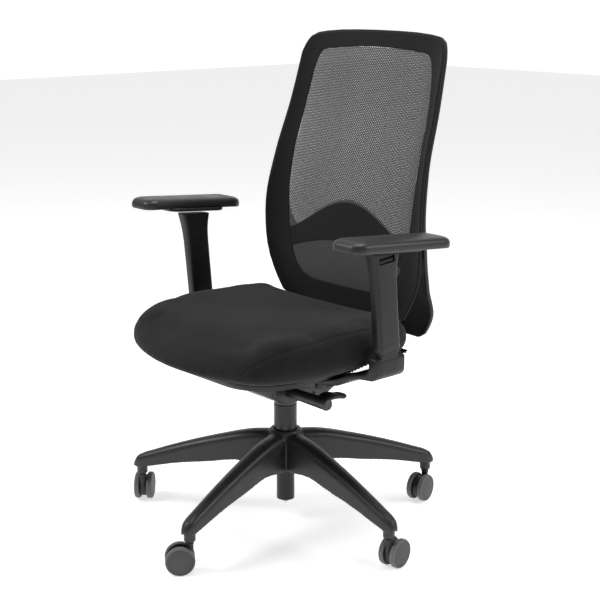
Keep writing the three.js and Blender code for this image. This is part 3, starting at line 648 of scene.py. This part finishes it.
def mapped_block(name, counts, place, material):
    """A closed subdivided block whose (u, v, w) in -1..1 is sent to a place by a function."""
    mesh = bmesh.new()
    bmesh.ops.create_cube(mesh, size=2)
    for axis, count in enumerate(counts):
        for i in range(1, count):
            normal = Vector([float(axis == k) for k in range(3)])
            bmesh.ops.bisect_plane(mesh, geom=mesh.verts[:] + mesh.edges[:] + mesh.faces[:],
                                   plane_co=normal * (2 * i / count - 1), plane_no=normal)
    for vertex in mesh.verts:
        vertex.co = Vector(place(*vertex.co))
    data = bpy.data.meshes.new(name)
    mesh.to_mesh(data)
    mesh.free()
    data.materials.append(material)
    data.shade_smooth()
    piece = bpy.data.objects.new(name, data)
    bpy.context.scene.collection.objects.link(piece)
    fix_normals(piece)
    return piece


def cushion_blank():
    """The foam before it's covered, a little inside the finished seat's size."""

    def place(u, v, w):
        inset = 2 * MM + w * w * (22 * MM if w > 0 else 16 * MM) + (12 * MM if w < -0.99 else 0)
        x, y = seat_plan(u, v, inset)
        rim = max(abs(u), abs(v))
        top = seat_top(y) + 13 * MM * abs(u) ** 3 - 2 * MM
        low = SEAT_LOW.z + 1 * MM + 6 * MM * rim * rim
        return x, y, low + (top - low) * (w + 1) / 2

    blank = mapped_block("seat_upholstery", (12, 12, 6), place, seat_fabric)
    add_modifier(blank, "SUBSURF", levels=2)
    add_modifier(blank, "REMESH", mode="VOXEL", voxel_size=5 * MM, use_smooth_shade=True)
    return apply_modifiers(blank)


def puff_up(piece, cap, pressure=4.0):
    """Inflates a closed cover like padded cloth, holds its underside and caps the swelling."""
    rest = np.array([v.co for v in piece.data.vertices])
    low, high = rest[:, 2].min(), rest[:, 2].max()
    held = piece.vertex_groups.new(name="held")
    for index, z in enumerate(rest[:, 2]):
        if z < low + 0.25 * (high - low):
            held.add([index], 1.0, "REPLACE")
    cloth = piece.modifiers.new("cloth", "CLOTH")
    cloth.settings.use_pressure = True
    cloth.settings.uniform_pressure_force = pressure
    cloth.settings.effector_weights.gravity = 0
    cloth.settings.tension_stiffness = 25
    cloth.settings.bending_stiffness = 12
    cloth.settings.quality = 4
    cloth.settings.vertex_group_mass = "held"
    cloth.point_cache.frame_start = 1
    cloth.point_cache.frame_end = 20
    for step in range(1, 21):
        bpy.context.scene.frame_set(step)
    evaluated = piece.evaluated_get(bpy.context.evaluated_depsgraph_get())
    swollen = np.array([v.co for v in evaluated.data.vertices])
    bpy.context.scene.frame_set(1)
    piece.modifiers.clear()
    piece.vertex_groups.clear()
    shift = swollen - rest
    reach = np.linalg.norm(shift, axis=1, keepdims=True)
    limited = rest + shift * np.minimum(1, cap / np.maximum(reach, 1e-9))
    piece.data.vertices.foreach_set("co", limited.astype(np.float32).ravel())
    piece.data.update()


def catmull(points, steps):
    """A smooth curve through points, as a dense polyline."""
    points = [Vector(p) for p in points]
    padded = [2 * points[0] - points[1]] + points + [2 * points[-1] - points[-2]]
    dense = []
    for a, b, c, d in zip(padded, padded[1:], padded[2:], padded[3:]):
        for i in range(steps):
            t = i / steps
            bend = (2 * a - 5 * b + 4 * c - d) * t**2 + (3 * b - a - 3 * c + d) * t**3
            dense.append(0.5 * ((2 * b) + (c - a) * t + bend))
    dense.append(points[-1])
    return dense


def tube_along(name, path, radius, material, sides=8, closed=False):
    """A round tube along a polyline, with a frame that doesn't twist."""
    path = [Vector(p) for p in path]
    count = len(path)
    rings = []
    side = None
    for i, point in enumerate(path):
        before = path[i - 1] if i or closed else path[0]
        after = path[(i + 1) % count] if i < count - 1 or closed else path[-1]
        tangent = (after - before).normalized()
        side = tangent.orthogonal() if side is None else side - tangent * side.dot(tangent)
        side.normalize()
        other = tangent.cross(side)
        size = radius(i / (count - 1)) if callable(radius) else radius
        angles = [2 * math.pi * k / sides for k in range(sides)]
        rings.append([point + side * math.cos(a) * size + other * math.sin(a) * size for a in angles])
    return loft(name, rings, material, closed=closed)


def seam_route(side):
    """The seam between the seat's top and side panels, front to rear, before it's laid on the cover."""
    route = [(182, -300, 388), (190, -304, 405), (201, -298, 432), (217, -276, 453), (233, -242, 466),
             (241, -190, 474),
             (242, -100, 477), (242, 0, 478), (238, 90, 477), (226, 140, 470), (205, 168, 450),
             (196, 176, 420)]
    return catmull([(side * x * MM, y * MM, z * MM) for x, y, z in route], 12)


def press_grooves(piece, routes, width, depth):
    """Sinks the cover along each route, as a sewn seam pulls it into the foam."""
    mesh = piece.data
    places = np.empty(len(mesh.vertices) * 3)
    mesh.vertices.foreach_get("co", places)
    places = places.reshape(-1, 3)
    normals = np.array([v.normal for v in mesh.vertices])
    nearest = np.full(len(places), 1.0)
    for route in routes:
        for point in route:
            nearest = np.minimum(nearest, ((places - np.array(point)) ** 2).sum(1))
    sink = depth * np.exp(-nearest / width**2)
    places -= normals * sink[:, None]
    mesh.vertices.foreach_set("co", places.astype(np.float32).ravel())
    mesh.update()


def laid_on(piece, route, lift):
    """Each point of a route moved to the nearest place on a piece, and lifted off it."""
    tree = BVHTree.FromObject(piece, bpy.context.evaluated_depsgraph_get())
    laid = []
    for point in route:
        place, normal, _, _ = tree.find_nearest(point)
        laid.append(place + normal * lift)
    return laid


def smoothed(route, rounds=4):
    for _ in range(rounds):
        inner = [(a + b * 2 + c) / 4 for a, b, c in zip(route, route[1:], route[2:])]
        route = [route[0]] + inner + [route[-1]]
    return route


def seat_cushion():
    cushion = cushion_blank()
    puff_up(cushion, 5 * MM)
    add_modifier(cushion, "SMOOTH", factor=0.5, iterations=34)
    add_modifier(cushion, "SUBSURF", levels=1)
    apply_modifiers(cushion)
    cushion.data.shade_smooth()
    routes = [smoothed(laid_on(cushion, seam_route(side), 0)) for side in (1, -1)]
    press_grooves(cushion, routes, 3.2 * MM, 1.8 * MM)
    finish_piece(cushion, "seat", "seat_fabric", "seat_cushion")
    for route, hand in zip(routes, ("left", "right")):
        thread = tube_along(f"seat_seam_{hand}", laid_on(cushion, route, 0.1 * MM), 0.75 * MM, seam_thread,
                            6)
        finish_piece(thread, "seat", "seat_fabric")


def seat_pan():
    """The moulded pan: a shallow tray whose rim turns up to the cushion."""
    low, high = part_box("seat_pan")
    plan = [(0, 0.0), (0.35, 0.0), (0.7, 0.0), (0.84, 1.5), (0.93, 6.0), (0.985, 13.0), (1.0, 19.0),
            (1.0, 24.0), (0.97, 24.6), (0.5, 24.6)]
    rings = []
    for share, height in plan:
        outline = rounded_rectangle((high.x - low.x) * max(share, 0.02),
                                    (high.y - low.y) * max(share, 0.02), 110 * MM * max(share, 0.02), 14)
        rings.append([(x, (low.y + high.y) / 2 + y, low.z + height * MM) for x, y in outline])
    pan = loft("seat_pan_shell", rings, frame_nylon)
    finish_piece(pan, "seat", "frame_nylon", "seat_pan")


# ---------- arm rests ----------

POST_LEAN = math.radians(5.1)
PAD_PITCH = math.radians(-4.8)


def arm_frame(side):
    """The matrix of a leaned arm: heights along the post, from the post's own origin."""
    return Matrix.Translation((side * 0.294, 0.004, 0.448)) @ Matrix.Rotation(POST_LEAN, 4, "X")


def pad_frame(side):
    return Matrix.Translation((side * 0.3075, -0.012, 0.643)) @ Matrix.Rotation(PAD_PITCH, 4, "X")


def bracket(side, hand):
    """The arm's bracket: a flat foot from under the seat that turns up into the inner post."""
    outline = rounded_profile([(46, 341.4), (150, 341.4), (196, 351), (226, 369), (246, 377), (270, 380),
                               (294, 382), (305.5, 392),
                               (305.5, 428), (282.5, 428), (282.5, 405), (275, 396), (258, 391), (240, 388),
                               (222, 381),
                               (190, 365), (150, 353), (46, 353), (46, 341.4)], 8, 5)[:-1]
    outline = np.array(outline) * MM
    rings = []
    for y, inset in ((-34, 2.6), (-33.2, 1.0), (-31.4, 0), (-10, 0), (20, 0), (43.4, 0), (45.2, 1.0),
                     (46, 2.6)):
        shrink = outline.copy()
        if inset:
            edges = np.roll(outline, -1, 0) - np.roll(outline, 1, 0)
            inward = np.stack([-edges[:, 1], edges[:, 0]], 1) / np.maximum(np.linalg.norm(edges, axis=1),
                1e-9)[:, None]
            shrink = outline + inward * inset * MM * (1 if area_sign(outline) > 0 else -1)
        rings.append([(side * x, y * MM, z) for x, z in shrink])
    foot = loft("foot", rings, arm_nylon)
    post_rings = [[(a, b, z * MM) for a, b in rounded_rectangle(20 * MM, 51.6 * MM, 6 * MM)] for z in (-44,
        -20, 60, 118)]
    post = moved(loft("post", post_rings, arm_nylon), arm_frame(side))
    piece = joined(f"bracket_{hand}", [foot, post])
    finish_piece(piece, "seat", "arm_nylon", f"arm_bracket_{hand}")


def area_sign(outline):
    x, y = outline[:, 0], outline[:, 1]
    return float(np.sign((x * np.roll(y, -1) - y * np.roll(x, -1)).sum()))


def sleeve(side, hand):
    """The outer sleeve that slides on the post and flares out under the pad."""
    flare = smooth_curve([(-8, 1.0), (60, 1.0), (110, 1.01), (150, 1.05), (172, 1.16), (190, 1.30)])
    slope = math.tan(POST_LEAN - PAD_PITCH)
    rings = []
    for z, inset in ((-8, 1.2), (-7.4, 0.4), (-6.4, 0), (4, 0), (30, 0), (70, 0), (110, 0), (130, 0),
                     (145, 0), (158, 0), (168, 0), (176, 0),
                     (183, 0), (187.4, 0), (189.2, 0.5), (190, 1.4)):
        depth = (57.6 * flare(z) - 2 * inset) * MM
        width = (26 + 2.5 * max(0, (z - 130) / 60) - 2 * inset) * MM
        lean = max(0.0, (z - 140) / 50)
        rings.append([(x, y, z * MM - lean * y * slope) for x,
                      y in rounded_rectangle(width, depth, 9 * MM)])
    piece = moved(loft(f"sleeve_{hand}", rings, arm_nylon), arm_frame(side))
    pocket = [[(side * x * MM, a, 176.5 * MM + b) for a,
               b in rounded_rectangle(42 * MM, 14 * MM, 3 * MM)] for x in (8.0, 20.0)]
    tool = moved(loft("pocket", pocket, arm_nylon), arm_frame(side))
    add_modifier(piece, "BOOLEAN", operation="DIFFERENCE", object=tool, solver="EXACT")
    apply_modifiers(piece)
    bpy.data.objects.remove(tool)
    piece.data.shade_smooth()
    with bpy.context.temp_override(object=piece, selected_editable_objects=[piece]):
        bpy.ops.object.shade_smooth_by_angle(angle=math.radians(40))
    finish_piece(piece, f"arm_{hand}", "arm_nylon", f"arm_sleeve_{hand}")
    button_rings = []
    for x, inset in ((8.6, 0), (10.6, 0), (11.5, 0.8), (11.7, 2.0)):
        outline = rounded_rectangle((38 - 2 * inset) * MM, (8.4 - 2 * inset) * MM, 2 * MM)
        button_rings.append([(side * x * MM, a, 174.4 * MM + b) for a, b in outline])
    button = moved(loft(f"trigger_{hand}", button_rings, frame_nylon), arm_frame(side))
    finish_piece(button, f"trigger_{hand}", "arm_nylon", f"arm_trigger_{hand}")


def pad(side, hand):
    """A crowned pad with soft edges on a thin moulded plate."""
    plate = rounded_rectangle(70 * MM, 150 * MM, 20 * MM)
    rings = [[(x * s, y * s, z * MM) for x, y in plate] for z,
             s in ((0, 0.96), (0.8, 0.99), (2, 1), (7, 1))]
    piece = moved(loft(f"pad_plate_{hand}", rings, frame_nylon), pad_frame(side))
    finish_piece(piece, f"pad_swivel_{hand}", "arm_nylon", f"pad_base_{hand}")
    sections = [(26, 0), (6, 0), (2.2, 0.5), (0.6, 2.2), (0, 5.5), (0, 9.5), (0.5, 13), (1.8, 16.2),
                (4.2, 18.8), (7.6, 20.6), (12, 21.8),
                (18, 22.7), (26, 23.3), (34, 23.7), (41, 23.9)]
    rings = []
    for inset, height in sections:
        outline = rounded_rectangle((88 - 2 * inset) * MM, (266 - 2 * inset) * MM,
                                    max(27 - inset * 0.8, 2) * MM, 12)
        rings.append([
            (side * 13.5 * MM + x * (1 - 0.08 * abs(y / 0.133) ** 2), y,
             (7.3 + height) * MM - (5 if y < 0 else 3.5) * MM * abs(y / 0.133) ** 2.5)
            for x, y in outline
        ])
    for ring in rings[:3]:
        for i, (x, y, z) in enumerate(ring):
            ring[i] = (x, y, max(z, 7.3 * MM) if abs(y) < 0.08 else z)
    cover = moved(loft(f"pad_{hand}", rings, pad_skin), pad_frame(side))
    add_modifier(cover, "SUBSURF", levels=1)
    apply_modifiers(cover)
    cover.data.shade_smooth()
    finish_piece(cover, f"pad_{hand}", "pad_foam", f"arm_pad_{hand}")


def arm_rests():
    for side, hand in ((1, "left"), (-1, "right")):
        bracket(side, hand)
        sleeve(side, hand)
        pad(side, hand)


# ---------- back ----------

BACK_LOW, BACK_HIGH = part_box("back_cover")
BACK_BOTTOM, BACK_TOP = BACK_LOW.z, BACK_HIGH.z

edge_y = smooth_curve([(0.40, 0.166), (0.44, 0.160), (0.53, 0.153), (0.60, 0.148), (0.66, 0.149),
                       (0.77, 0.170), (0.88, 0.207), (1.0, 0.240), (1.04, 0.250)])
half_width = smooth_curve([(0.40, 0.158), (0.44, 0.182), (0.48, 0.208), (0.53, 0.232), (0.60, 0.240),
                           (0.66, 0.240), (0.77, 0.229), (0.88, 0.220), (1.04, 0.209)])
rear_half_width = smooth_curve([(0.40, 0.192), (0.44, 0.205), (0.516, 0.221), (0.60, 0.239), (0.66, 0.239),
                                (0.77, 0.228), (0.88, 0.219), (1.04, 0.208)])
bow_depth = smooth_curve([(0.40, 0.010), (0.50, 0.012), (0.56, 0.022), (0.62, 0.032), (0.70, 0.034),
                          (0.79, 0.032), (0.87, 0.028), (0.95, 0.022), (1.04, 0.014)])
rear_depth = smooth_curve([(0.38, 0.040), (0.402, 0.056), (0.42, 0.069), (0.44, 0.077), (0.516, 0.054),
                           (0.58, 0.033), (0.65, 0.022), (0.75, 0.020), (0.90, 0.019), (1.04, 0.018)])


def back_surface(x, z, depth=0.0):
    """A point of the back, at a depth behind the cover's front face."""
    across = min(abs(x) / half_width(z), 1.05)
    return Vector((x, edge_y(z) + bow_depth(z) * (1 - across**8) + depth, z))


def mirrored(right_half):
    """A closed outline from its right half, listed from the bottom middle up to the top middle."""
    return right_half + [(-x, z) for x, z in reversed(right_half[1:-1])]


def outer_outline(width):
    sides = [(width(z), z) for z in np.linspace(BACK_BOTTOM + 0.012, BACK_TOP - 0.052, 22)]
    low = width(BACK_BOTTOM)
    top = [(0.2065, BACK_TOP - 0.032), (0.198, BACK_TOP - 0.018), (0.182, BACK_TOP - 0.0095),
           (0.155, BACK_TOP - 0.0055), (0.11, BACK_TOP - 0.002),
           (0.06, BACK_TOP - 0.0005), (0, BACK_TOP)]
    return mirrored([(0, BACK_BOTTOM), (low * 0.5, BACK_BOTTOM),
                     (low - 0.02, BACK_BOTTOM + 0.001)] + sides + top)


WINDOW_SIDE = [(0.130, 0.504), (0.151, 0.521), (0.165, 0.545), (0.175, 0.575), (0.184, 0.61), (0.189, 0.65),
               (0.191, 0.70), (0.190, 0.79), (0.185, 0.88), (0.177, 0.95), (0.169, 0.978)]
WINDOW_TOP = [(0.162, 0.989), (0.148, 0.995), (0.08, 1.001), (0, 1.004)]


def window_outline():
    return mirrored([(0, 0.492), (0.06, 0.4925), (0.10, 0.4945)] + WINDOW_SIDE + WINDOW_TOP)


def by_angle(outline, center, shape, count):
    """A closed outline resampled at even angles about a centre, in a stretched plane."""
    dense = []
    for a, b in zip(outline, outline[1:] + outline[:1]):
        for t in np.linspace(0, 1, 12, endpoint=False):
            dense.append((a[0] + (b[0] - a[0]) * t, a[1] + (b[1] - a[1]) * t))
    dense = np.array(dense)
    angles = np.unwrap(np.arctan2((dense[:, 1] - center[1]) / shape[1],
                                  (dense[:, 0] - center[0]) / shape[0]))
    if angles[-1] < angles[0]:
        dense, angles = dense[::-1], angles[::-1]
    wanted = angles[0] + np.linspace(0, 2 * math.pi, count, endpoint=False)
    angles = np.append(angles, angles[0] + 2 * math.pi)
    dense = np.vstack([dense, dense[:1]])
    return np.column_stack([np.interp(wanted, angles, dense[:, k]) for k in range(2)])


def ring_panel(name, outer, inner, center, shape, section, surface, material, count=320):
    """A closed ring between two outlines, with (share across, outward mm, depth) round its wall."""
    outer = by_angle(outer, center, shape, count)
    inner = by_angle(inner, center, shape, count)
    rings = []
    for share, outward, depth in section:
        ring = []
        for (ox, oz), (ix, iz) in zip(outer, inner):
            across = Vector((ox - ix, oz - iz))
            place = Vector((ix, iz)) + across * share + across.normalized() * outward * MM
            deep = depth(place.x, place.y) if callable(depth) else depth * MM
            ring.append(surface(place.x, place.y, deep))
        rings.append(ring)
    return loft(name, rings, material, closed=True)


BACK_CENTER = (0.0, 0.745)
BACK_SHAPE = (0.2, 0.27)


def cover_border():
    """The dense knitted border: rounded at the window and rolled back over the frame's outer edge."""
    section = [(0, 1.5, 3.4), (0, 0.3, 2.8), (0, -0.2, 1.6), (0, 0.3, 0.5), (0, 1.5, 0.0)]
    section += [(share, 0, 0.0) for share in np.linspace(0.08, 0.9, 14)]
    section += [(1, -4.5, 0.3), (1, -2.6, 1.0), (1, -1.2, 2.4), (1, -0.5, 4.4), (1, -0.8, 7.5),
                (1, -3, 9.4), (1, -7, 9.6), (0.5, 0, 5.0)]
    border = ring_panel("back_border", outer_outline(half_width), window_outline(), BACK_CENTER, BACK_SHAPE,
                        section, back_surface, border_knit)
    finish_piece(border, "back", "back_mesh", "back_cover")
    return border


def band_edges(x):
    """The lumbar band's lower and upper edge at a place across the back."""
    share = min(abs(x) / 0.186, 1.0)
    arch = 0.5 + 0.5 * math.cos(math.pi * share)
    return 0.549 + 0.034 * (1 - share**2), 0.601 + 0.078 * arch**0.72


def lumbar_band():
    """The dense band across the window, arched above and nearly straight below."""
    rings = []
    columns = np.linspace(-0.192, 0.192, 90)
    shares = np.linspace(0, 1, 16)
    for x in columns:
        low, high = band_edges(x)
        front = [back_surface(x, low + (high - low) * t,
                              (0.8 + 1.6 * abs(2 * t - 1) ** 14) * MM) for t in shares]
        back = [back_surface(x, low + (high - low) * t, 3.4 * MM) for t in reversed(shares)]
        rings.append([tuple(p) for p in front + back])
    band = loft("lumbar_band", rings, border_knit)
    return finish_piece(band, "back", "back_mesh")


NET_PITCH = 3.4 * MM


def window_half_width(z):
    sides = [(z_side, x_side) for x_side, z_side in [(0.10, 0.4945)] + WINDOW_SIDE]
    places = [p for p, _ in sides]
    return float(np.interp(z, places, [x for _, x in sides]))


def window_span(x):
    """The window's lowest and highest point at a place across it."""
    outline = [(0, 0.492), (0.06, 0.4925), (0.10, 0.4945)] + WINDOW_SIDE
    low_part = [p for p in outline if p[1] < 0.66]
    low = float(np.interp(abs(x), [p[0] for p in low_part], [p[1] for p in low_part]))
    high_part = list(reversed(WINDOW_TOP)) + [(0.169, 0.978), (0.177, 0.95), (0.185, 0.88), (0.191, 0.70)]
    high = float(np.interp(abs(x), [p[0] for p in high_part], [p[1] for p in high_part]))
    return low, high


def strand_mesh(name, strands, radius, sides):
    """Many thin strands in one mesh. A strand is a list of points."""
    vertices, faces = [], []
    angles = [2 * math.pi * k / sides for k in range(sides)]
    for path in strands:
        start = len(vertices)
        for i, point in enumerate(path):
            tangent = (path[min(i + 1, len(path) - 1)] - path[max(i - 1, 0)]).normalized()
            side = Vector((0, 1, 0))
            other = tangent.cross(side).normalized()
            vertices += [
                point + side * math.cos(a) * radius * 0.3 + other * math.sin(a) * radius
                for a in angles
            ]
        for i in range(len(path) - 1):
            a = start + i * sides
            faces += [(a + k, a + (k + 1) % sides, a + sides + (k + 1) % sides,
                       a + sides + k) for k in range(sides)]
        last = start + (len(path) - 1) * sides
        faces.append(tuple(range(start + sides - 1, start - 1, -1)))
        faces.append(tuple(range(last, last + sides)))
    return new_object(name, vertices, faces, net_yarn)


def net():
    """The open net: straight courses, and wales that swing from side to side between them."""
    tuck = 4 * MM
    courses = []
    for z in np.arange(0.4965, 1.0, NET_PITCH):
        reach = window_half_width(z) + tuck
        if z > 0.978:
            reach = 0.172 if z < 0.99 else 0.16
        courses.append([back_surface(x, z, 1.8 * MM) for x in np.linspace(-reach, reach, 25)])
    across = strand_mesh("net_courses", courses, 1.22 * MM, 4)
    finish_piece(across, "back", "back_mesh")
    wales = []
    for number, x in enumerate(np.arange(-0.191, 0.192, NET_PITCH)):
        low, high = window_span(x)
        levels = np.arange(low - tuck, high + tuck * 0.6, NET_PITCH)
        swing = 0.6 * MM
        wales.append([back_surface(x + (swing if (i + number) % 2 else -swing), z, 1.5 * MM) for i,
                      z in enumerate(levels)])
    upward = strand_mesh("net_wales", wales, 1.3 * MM, 4)
    finish_piece(upward, "back", "back_mesh")
    return across, upward


def inner_frame():
    """The frame that the cover is stretched over, seen only from behind and through the net."""
    outer = [(x * 0.972, BACK_CENTER[1] + (z - BACK_CENTER[1]) * 0.982) for x,
             z in outer_outline(half_width)]
    inner = [(x * 1.045, BACK_CENTER[1] + (z - BACK_CENTER[1]) * 1.02) for x, z in window_outline()]
    section = [(0, 0, 8.6), (0, -0.6, 7.6), (0, -0.6, 5.2), (0, 0.4, 4.3), (0.5, 0, 4.2), (1, -3, 4.3),
               (1, -1.6, 5.6), (1, -2, 8.4), (1, -4, 9.4), (0.5, 0, 9.6)]
    ring = ring_panel("inner_frame_ring", outer, inner, BACK_CENTER, BACK_SHAPE, section, back_surface,
                      frame_nylon, 240)
    bar_rings = []
    for x in np.linspace(-0.178, 0.178, 48):
        low, high = band_edges(x)
        middle, half = (low + high) / 2, min((high - low) / 2 - 6 * MM, 20 * MM)
        outline = rounded_rectangle(2 * half, 4.6 * MM, 2 * MM, 4)
        bar_rings.append([tuple(back_surface(x, middle + a, 6.6 * MM + b)) for a, b in outline])
    bar = loft("bar", bar_rings, frame_nylon)
    finish_piece(joined("inner_frame", [ring, bar]), "back", "frame_nylon", "back_frame")


def rear_surface(x, z, depth=0.0):
    across = min(abs(x) / rear_half_width(z), 1.05)
    return Vector((x, edge_y(z) + bow_depth(z) * (1 - across**8) + depth, z))


YOKE_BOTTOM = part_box("rear_frame")[0].z


def rear_outline():
    sides = [(rear_half_width(z) - 0.0015, z) for z in np.linspace(YOKE_BOTTOM + 0.010, BACK_TOP - 0.054,
        24)]
    low = rear_half_width(YOKE_BOTTOM)
    top = [(0.2035, BACK_TOP - 0.034), (0.195, BACK_TOP - 0.020), (0.179, BACK_TOP - 0.0115),
           (0.152, BACK_TOP - 0.0075), (0.11, BACK_TOP - 0.004),
           (0.06, BACK_TOP - 0.0025), (0, BACK_TOP - 0.002)]
    return mirrored([(0, YOKE_BOTTOM), (low * 0.5, YOKE_BOTTOM),
                     (low - 0.012, YOKE_BOTTOM + 0.001)] + sides + top)


def rear_opening():
    return mirrored([(0, 0.585), (0.10, 0.586), (0.16, 0.592), (0.188, 0.604), (0.200, 0.63), (0.205, 0.67),
                     (0.204, 0.74), (0.199, 0.84), (0.192, 0.93),
                     (0.186, 0.972), (0.174, 0.996), (0.148, 1.008), (0.07, 1.012), (0, 1.013)])


def rear_frame():
    """The outer frame: flat rails that meet the cover's edge, a top rail and a broad yoke."""

    def front(x, z):
        return max(10.6 * MM, rear_depth(z) - 11 * MM)

    def back(x, z):
        return rear_depth(z)

    section = [(0, 1.2, lambda x, z: front(x, z) + 1.5 * MM), (0.06, 0, front)]
    section += [(share, 0, front) for share in (0.3, 0.55, 0.8)]
    section += [(1, -3, front), (1, -0.8, lambda x, z: front(x, z) + 0.8 * MM),
                (1, 0, lambda x, z: front(x, z) + 2.5 * MM),
                (1, 0, lambda x, z: back(x, z) - 3.0 * MM), (1, -1.0, lambda x, z: back(x, z) - 0.9 * MM),
                (1, -3.2, back)]
    section += [(share, 0, back) for share in (0.8, 0.55, 0.3)]
    section += [(0.06, 0, back), (0, 0.8, lambda x, z: back(x, z) - 1.0 * MM),
                (0, 0, lambda x, z: back(x, z) - 3.2 * MM)]
    rear = ring_panel("rear_frame_shell", rear_outline(), rear_opening(), BACK_CENTER, BACK_SHAPE, section,
                      rear_surface, frame_nylon, 320)
    finish_piece(rear, "back", "frame_nylon", "rear_frame")


def back_bracket():
    """The J-shaped bracket, which widens into a scoop that turns up to the yoke."""
    path = catmull([(0, 36, 304), (0, 90, 308), (0, 140, 317), (0, 188, 338), (0, 215, 366), (0, 226, 398)],
                   8)
    width = smooth_curve([(0, 60), (0.25, 60), (0.5, 92), (0.7, 152), (0.9, 186), (1, 191)])
    rings = []
    for i, place in enumerate(path):
        along = i / (len(path) - 1)
        after, before = path[min(i + 1, len(path) - 1)], path[max(i - 1, 0)]
        tangent = (after - before).normalized()
        outline = rounded_rectangle(2 * width(along), 13, 4.5, 4)
        outline = densify(outline, 6)
        ring = []
        for a, b in outline:
            u = a / width(along)
            lift = 26 * u * u * math.sin(math.pi * along) * along
            ring.append((a * MM, (place.y - tangent.z * b - 10 * u * u * along**4) * MM,
                         (place.z + tangent.y * b + lift) * MM))
        rings.append(ring)
    piece = loft("back_scoop", rings, frame_nylon)
    finish_piece(piece, "back", "frame_nylon", "back_bracket")


def densify(outline, longest):
    """Adds points to an outline's long straight runs."""
    dense = []
    for a, b in zip(outline, np.roll(outline, -1, 0)):
        steps = max(1, int(np.linalg.norm(b - a) / longest))
        dense += [a + (b - a) * i / steps for i in range(steps)]
    return dense


def back():
    border = cover_border()
    knitted_in = [lumbar_band(), *net()]
    inner_frame()
    rear_frame()
    back_bracket()


# ---------- stage, lights and camera ----------


def studio_floor():
    """A plain white floor, lit a little from below so that it stays white round the chair."""
    nodes = Nodes("studio_floor", (0.8, 0.8, 0.8), 0.7, Specular_IOR_Level=0.2, Emission_Strength=0.6)
    nodes.shader.inputs["Emission Color"].default_value = (1, 1, 1, 1)
    return nodes.material


def light_wall(tree):
    """The studio: a white wall behind the chair's left, and dim elsewhere."""
    direction = tree.nodes.new("ShaderNodeTexCoord").outputs["Generated"]
    facing = tree.nodes.new("ShaderNodeVectorMath")
    facing.operation = "DOT_PRODUCT"
    facing.inputs[1].default_value = (-0.743, 0.669, 0)
    tree.links.new(direction, facing.inputs[0])
    share = tree.nodes.new("ShaderNodeMapRange")
    share.interpolation_type = "SMOOTHSTEP"
    for socket, value in {"From Min": 0.55, "From Max": 0.88, "To Min": 0.2, "To Max": 1.05}.items():
        share.inputs[socket].default_value = value
    tree.links.new(facing.outputs["Value"], share.inputs["Value"])
    tree.links.new(share.outputs["Result"], tree.nodes["Background"].inputs["Strength"])


def stage():
    size = 12.0
    floor = new_object("floor", [(-size, -size, 0), (size, -size, 0), (size, size, 0), (-size, size, 0)],
                       [(0, 1, 2, 3)],
                       studio_floor())
    world = bpy.data.worlds.new("studio")
    world.use_nodes = True
    world.node_tree.nodes["Background"].inputs["Color"].default_value = (1, 1, 1, 1)
    light_wall(world.node_tree)
    bpy.context.scene.world = world
    bpy.context.scene.view_settings.view_transform = "Standard"


def area_light(name, place, target, size, power):
    light = bpy.data.lights.new(name, "AREA")
    light.size = size
    light.energy = power
    lamp = bpy.data.objects.new(name, light)
    lamp.location = place
    lamp.rotation_euler = (Vector(target) - Vector(place)).to_track_quat("-Z", "Y").to_euler()
    bpy.context.scene.collection.objects.link(lamp)


def lights():
    area_light("key", (-1.6, -2.4, 3.0), (0, 0, 0.5), 1.4, 70)
    area_light("rim", (2.4, 1.8, 2.0), (0, 0, 0.6), 1.0, 30)
    area_light("top", (0.2, 0.3, 3.4), (0, 0, 0.4), 1.6, 60)


CAMERA_AZIMUTH = math.radians(48.662)
CAMERA_DISTANCE = 2.6665
CAMERA_HEIGHT = 1.1395
CAMERA_PITCH = math.radians(13.736)
CAMERA_TURN = math.radians(-0.6746)
CAMERA_LENS = 78.3


def camera():
    data = bpy.data.cameras.new("photo_view")
    data.lens = CAMERA_LENS
    data.sensor_width = 36
    eye = bpy.data.objects.new("photo_view", data)
    eye.location = (math.sin(CAMERA_AZIMUTH) * CAMERA_DISTANCE, -math.cos(CAMERA_AZIMUTH) * CAMERA_DISTANCE,
                    CAMERA_HEIGHT)
    eye.rotation_euler = (math.pi / 2 - CAMERA_PITCH, 0, CAMERA_AZIMUTH + CAMERA_TURN)
    bpy.context.scene.collection.objects.link(eye)
    bpy.context.scene.camera = eye


# ---------- CAD nodes that stay ----------


def dress_cad_nodes():
    """Small steel parts keep their CAD shape and take a plated finish; the tilt and recline pins take black
    steel.
    """
    keep = ["thrust_bearing", "piston_rod", "rod_clip", "valve_pin", "tilt_pin", "recline_pin",
            "tension_spring"]
    keep += [f"caster_{part}_{i + 1}" for part in ("stem", "axle") for i in range(ARM_COUNT)]
    for name in keep:
        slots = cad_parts[name].data.materials
        slots.clear()
        slots.append(black_steel if name in ("tilt_pin", "recline_pin") else plated_steel)


camera()
lights()
stage()
dress_cad_nodes()
star_base()
gas_lift()
casters()
mechanism()
levers()
seat_cushion()
seat_pan()
arm_rests()
back()
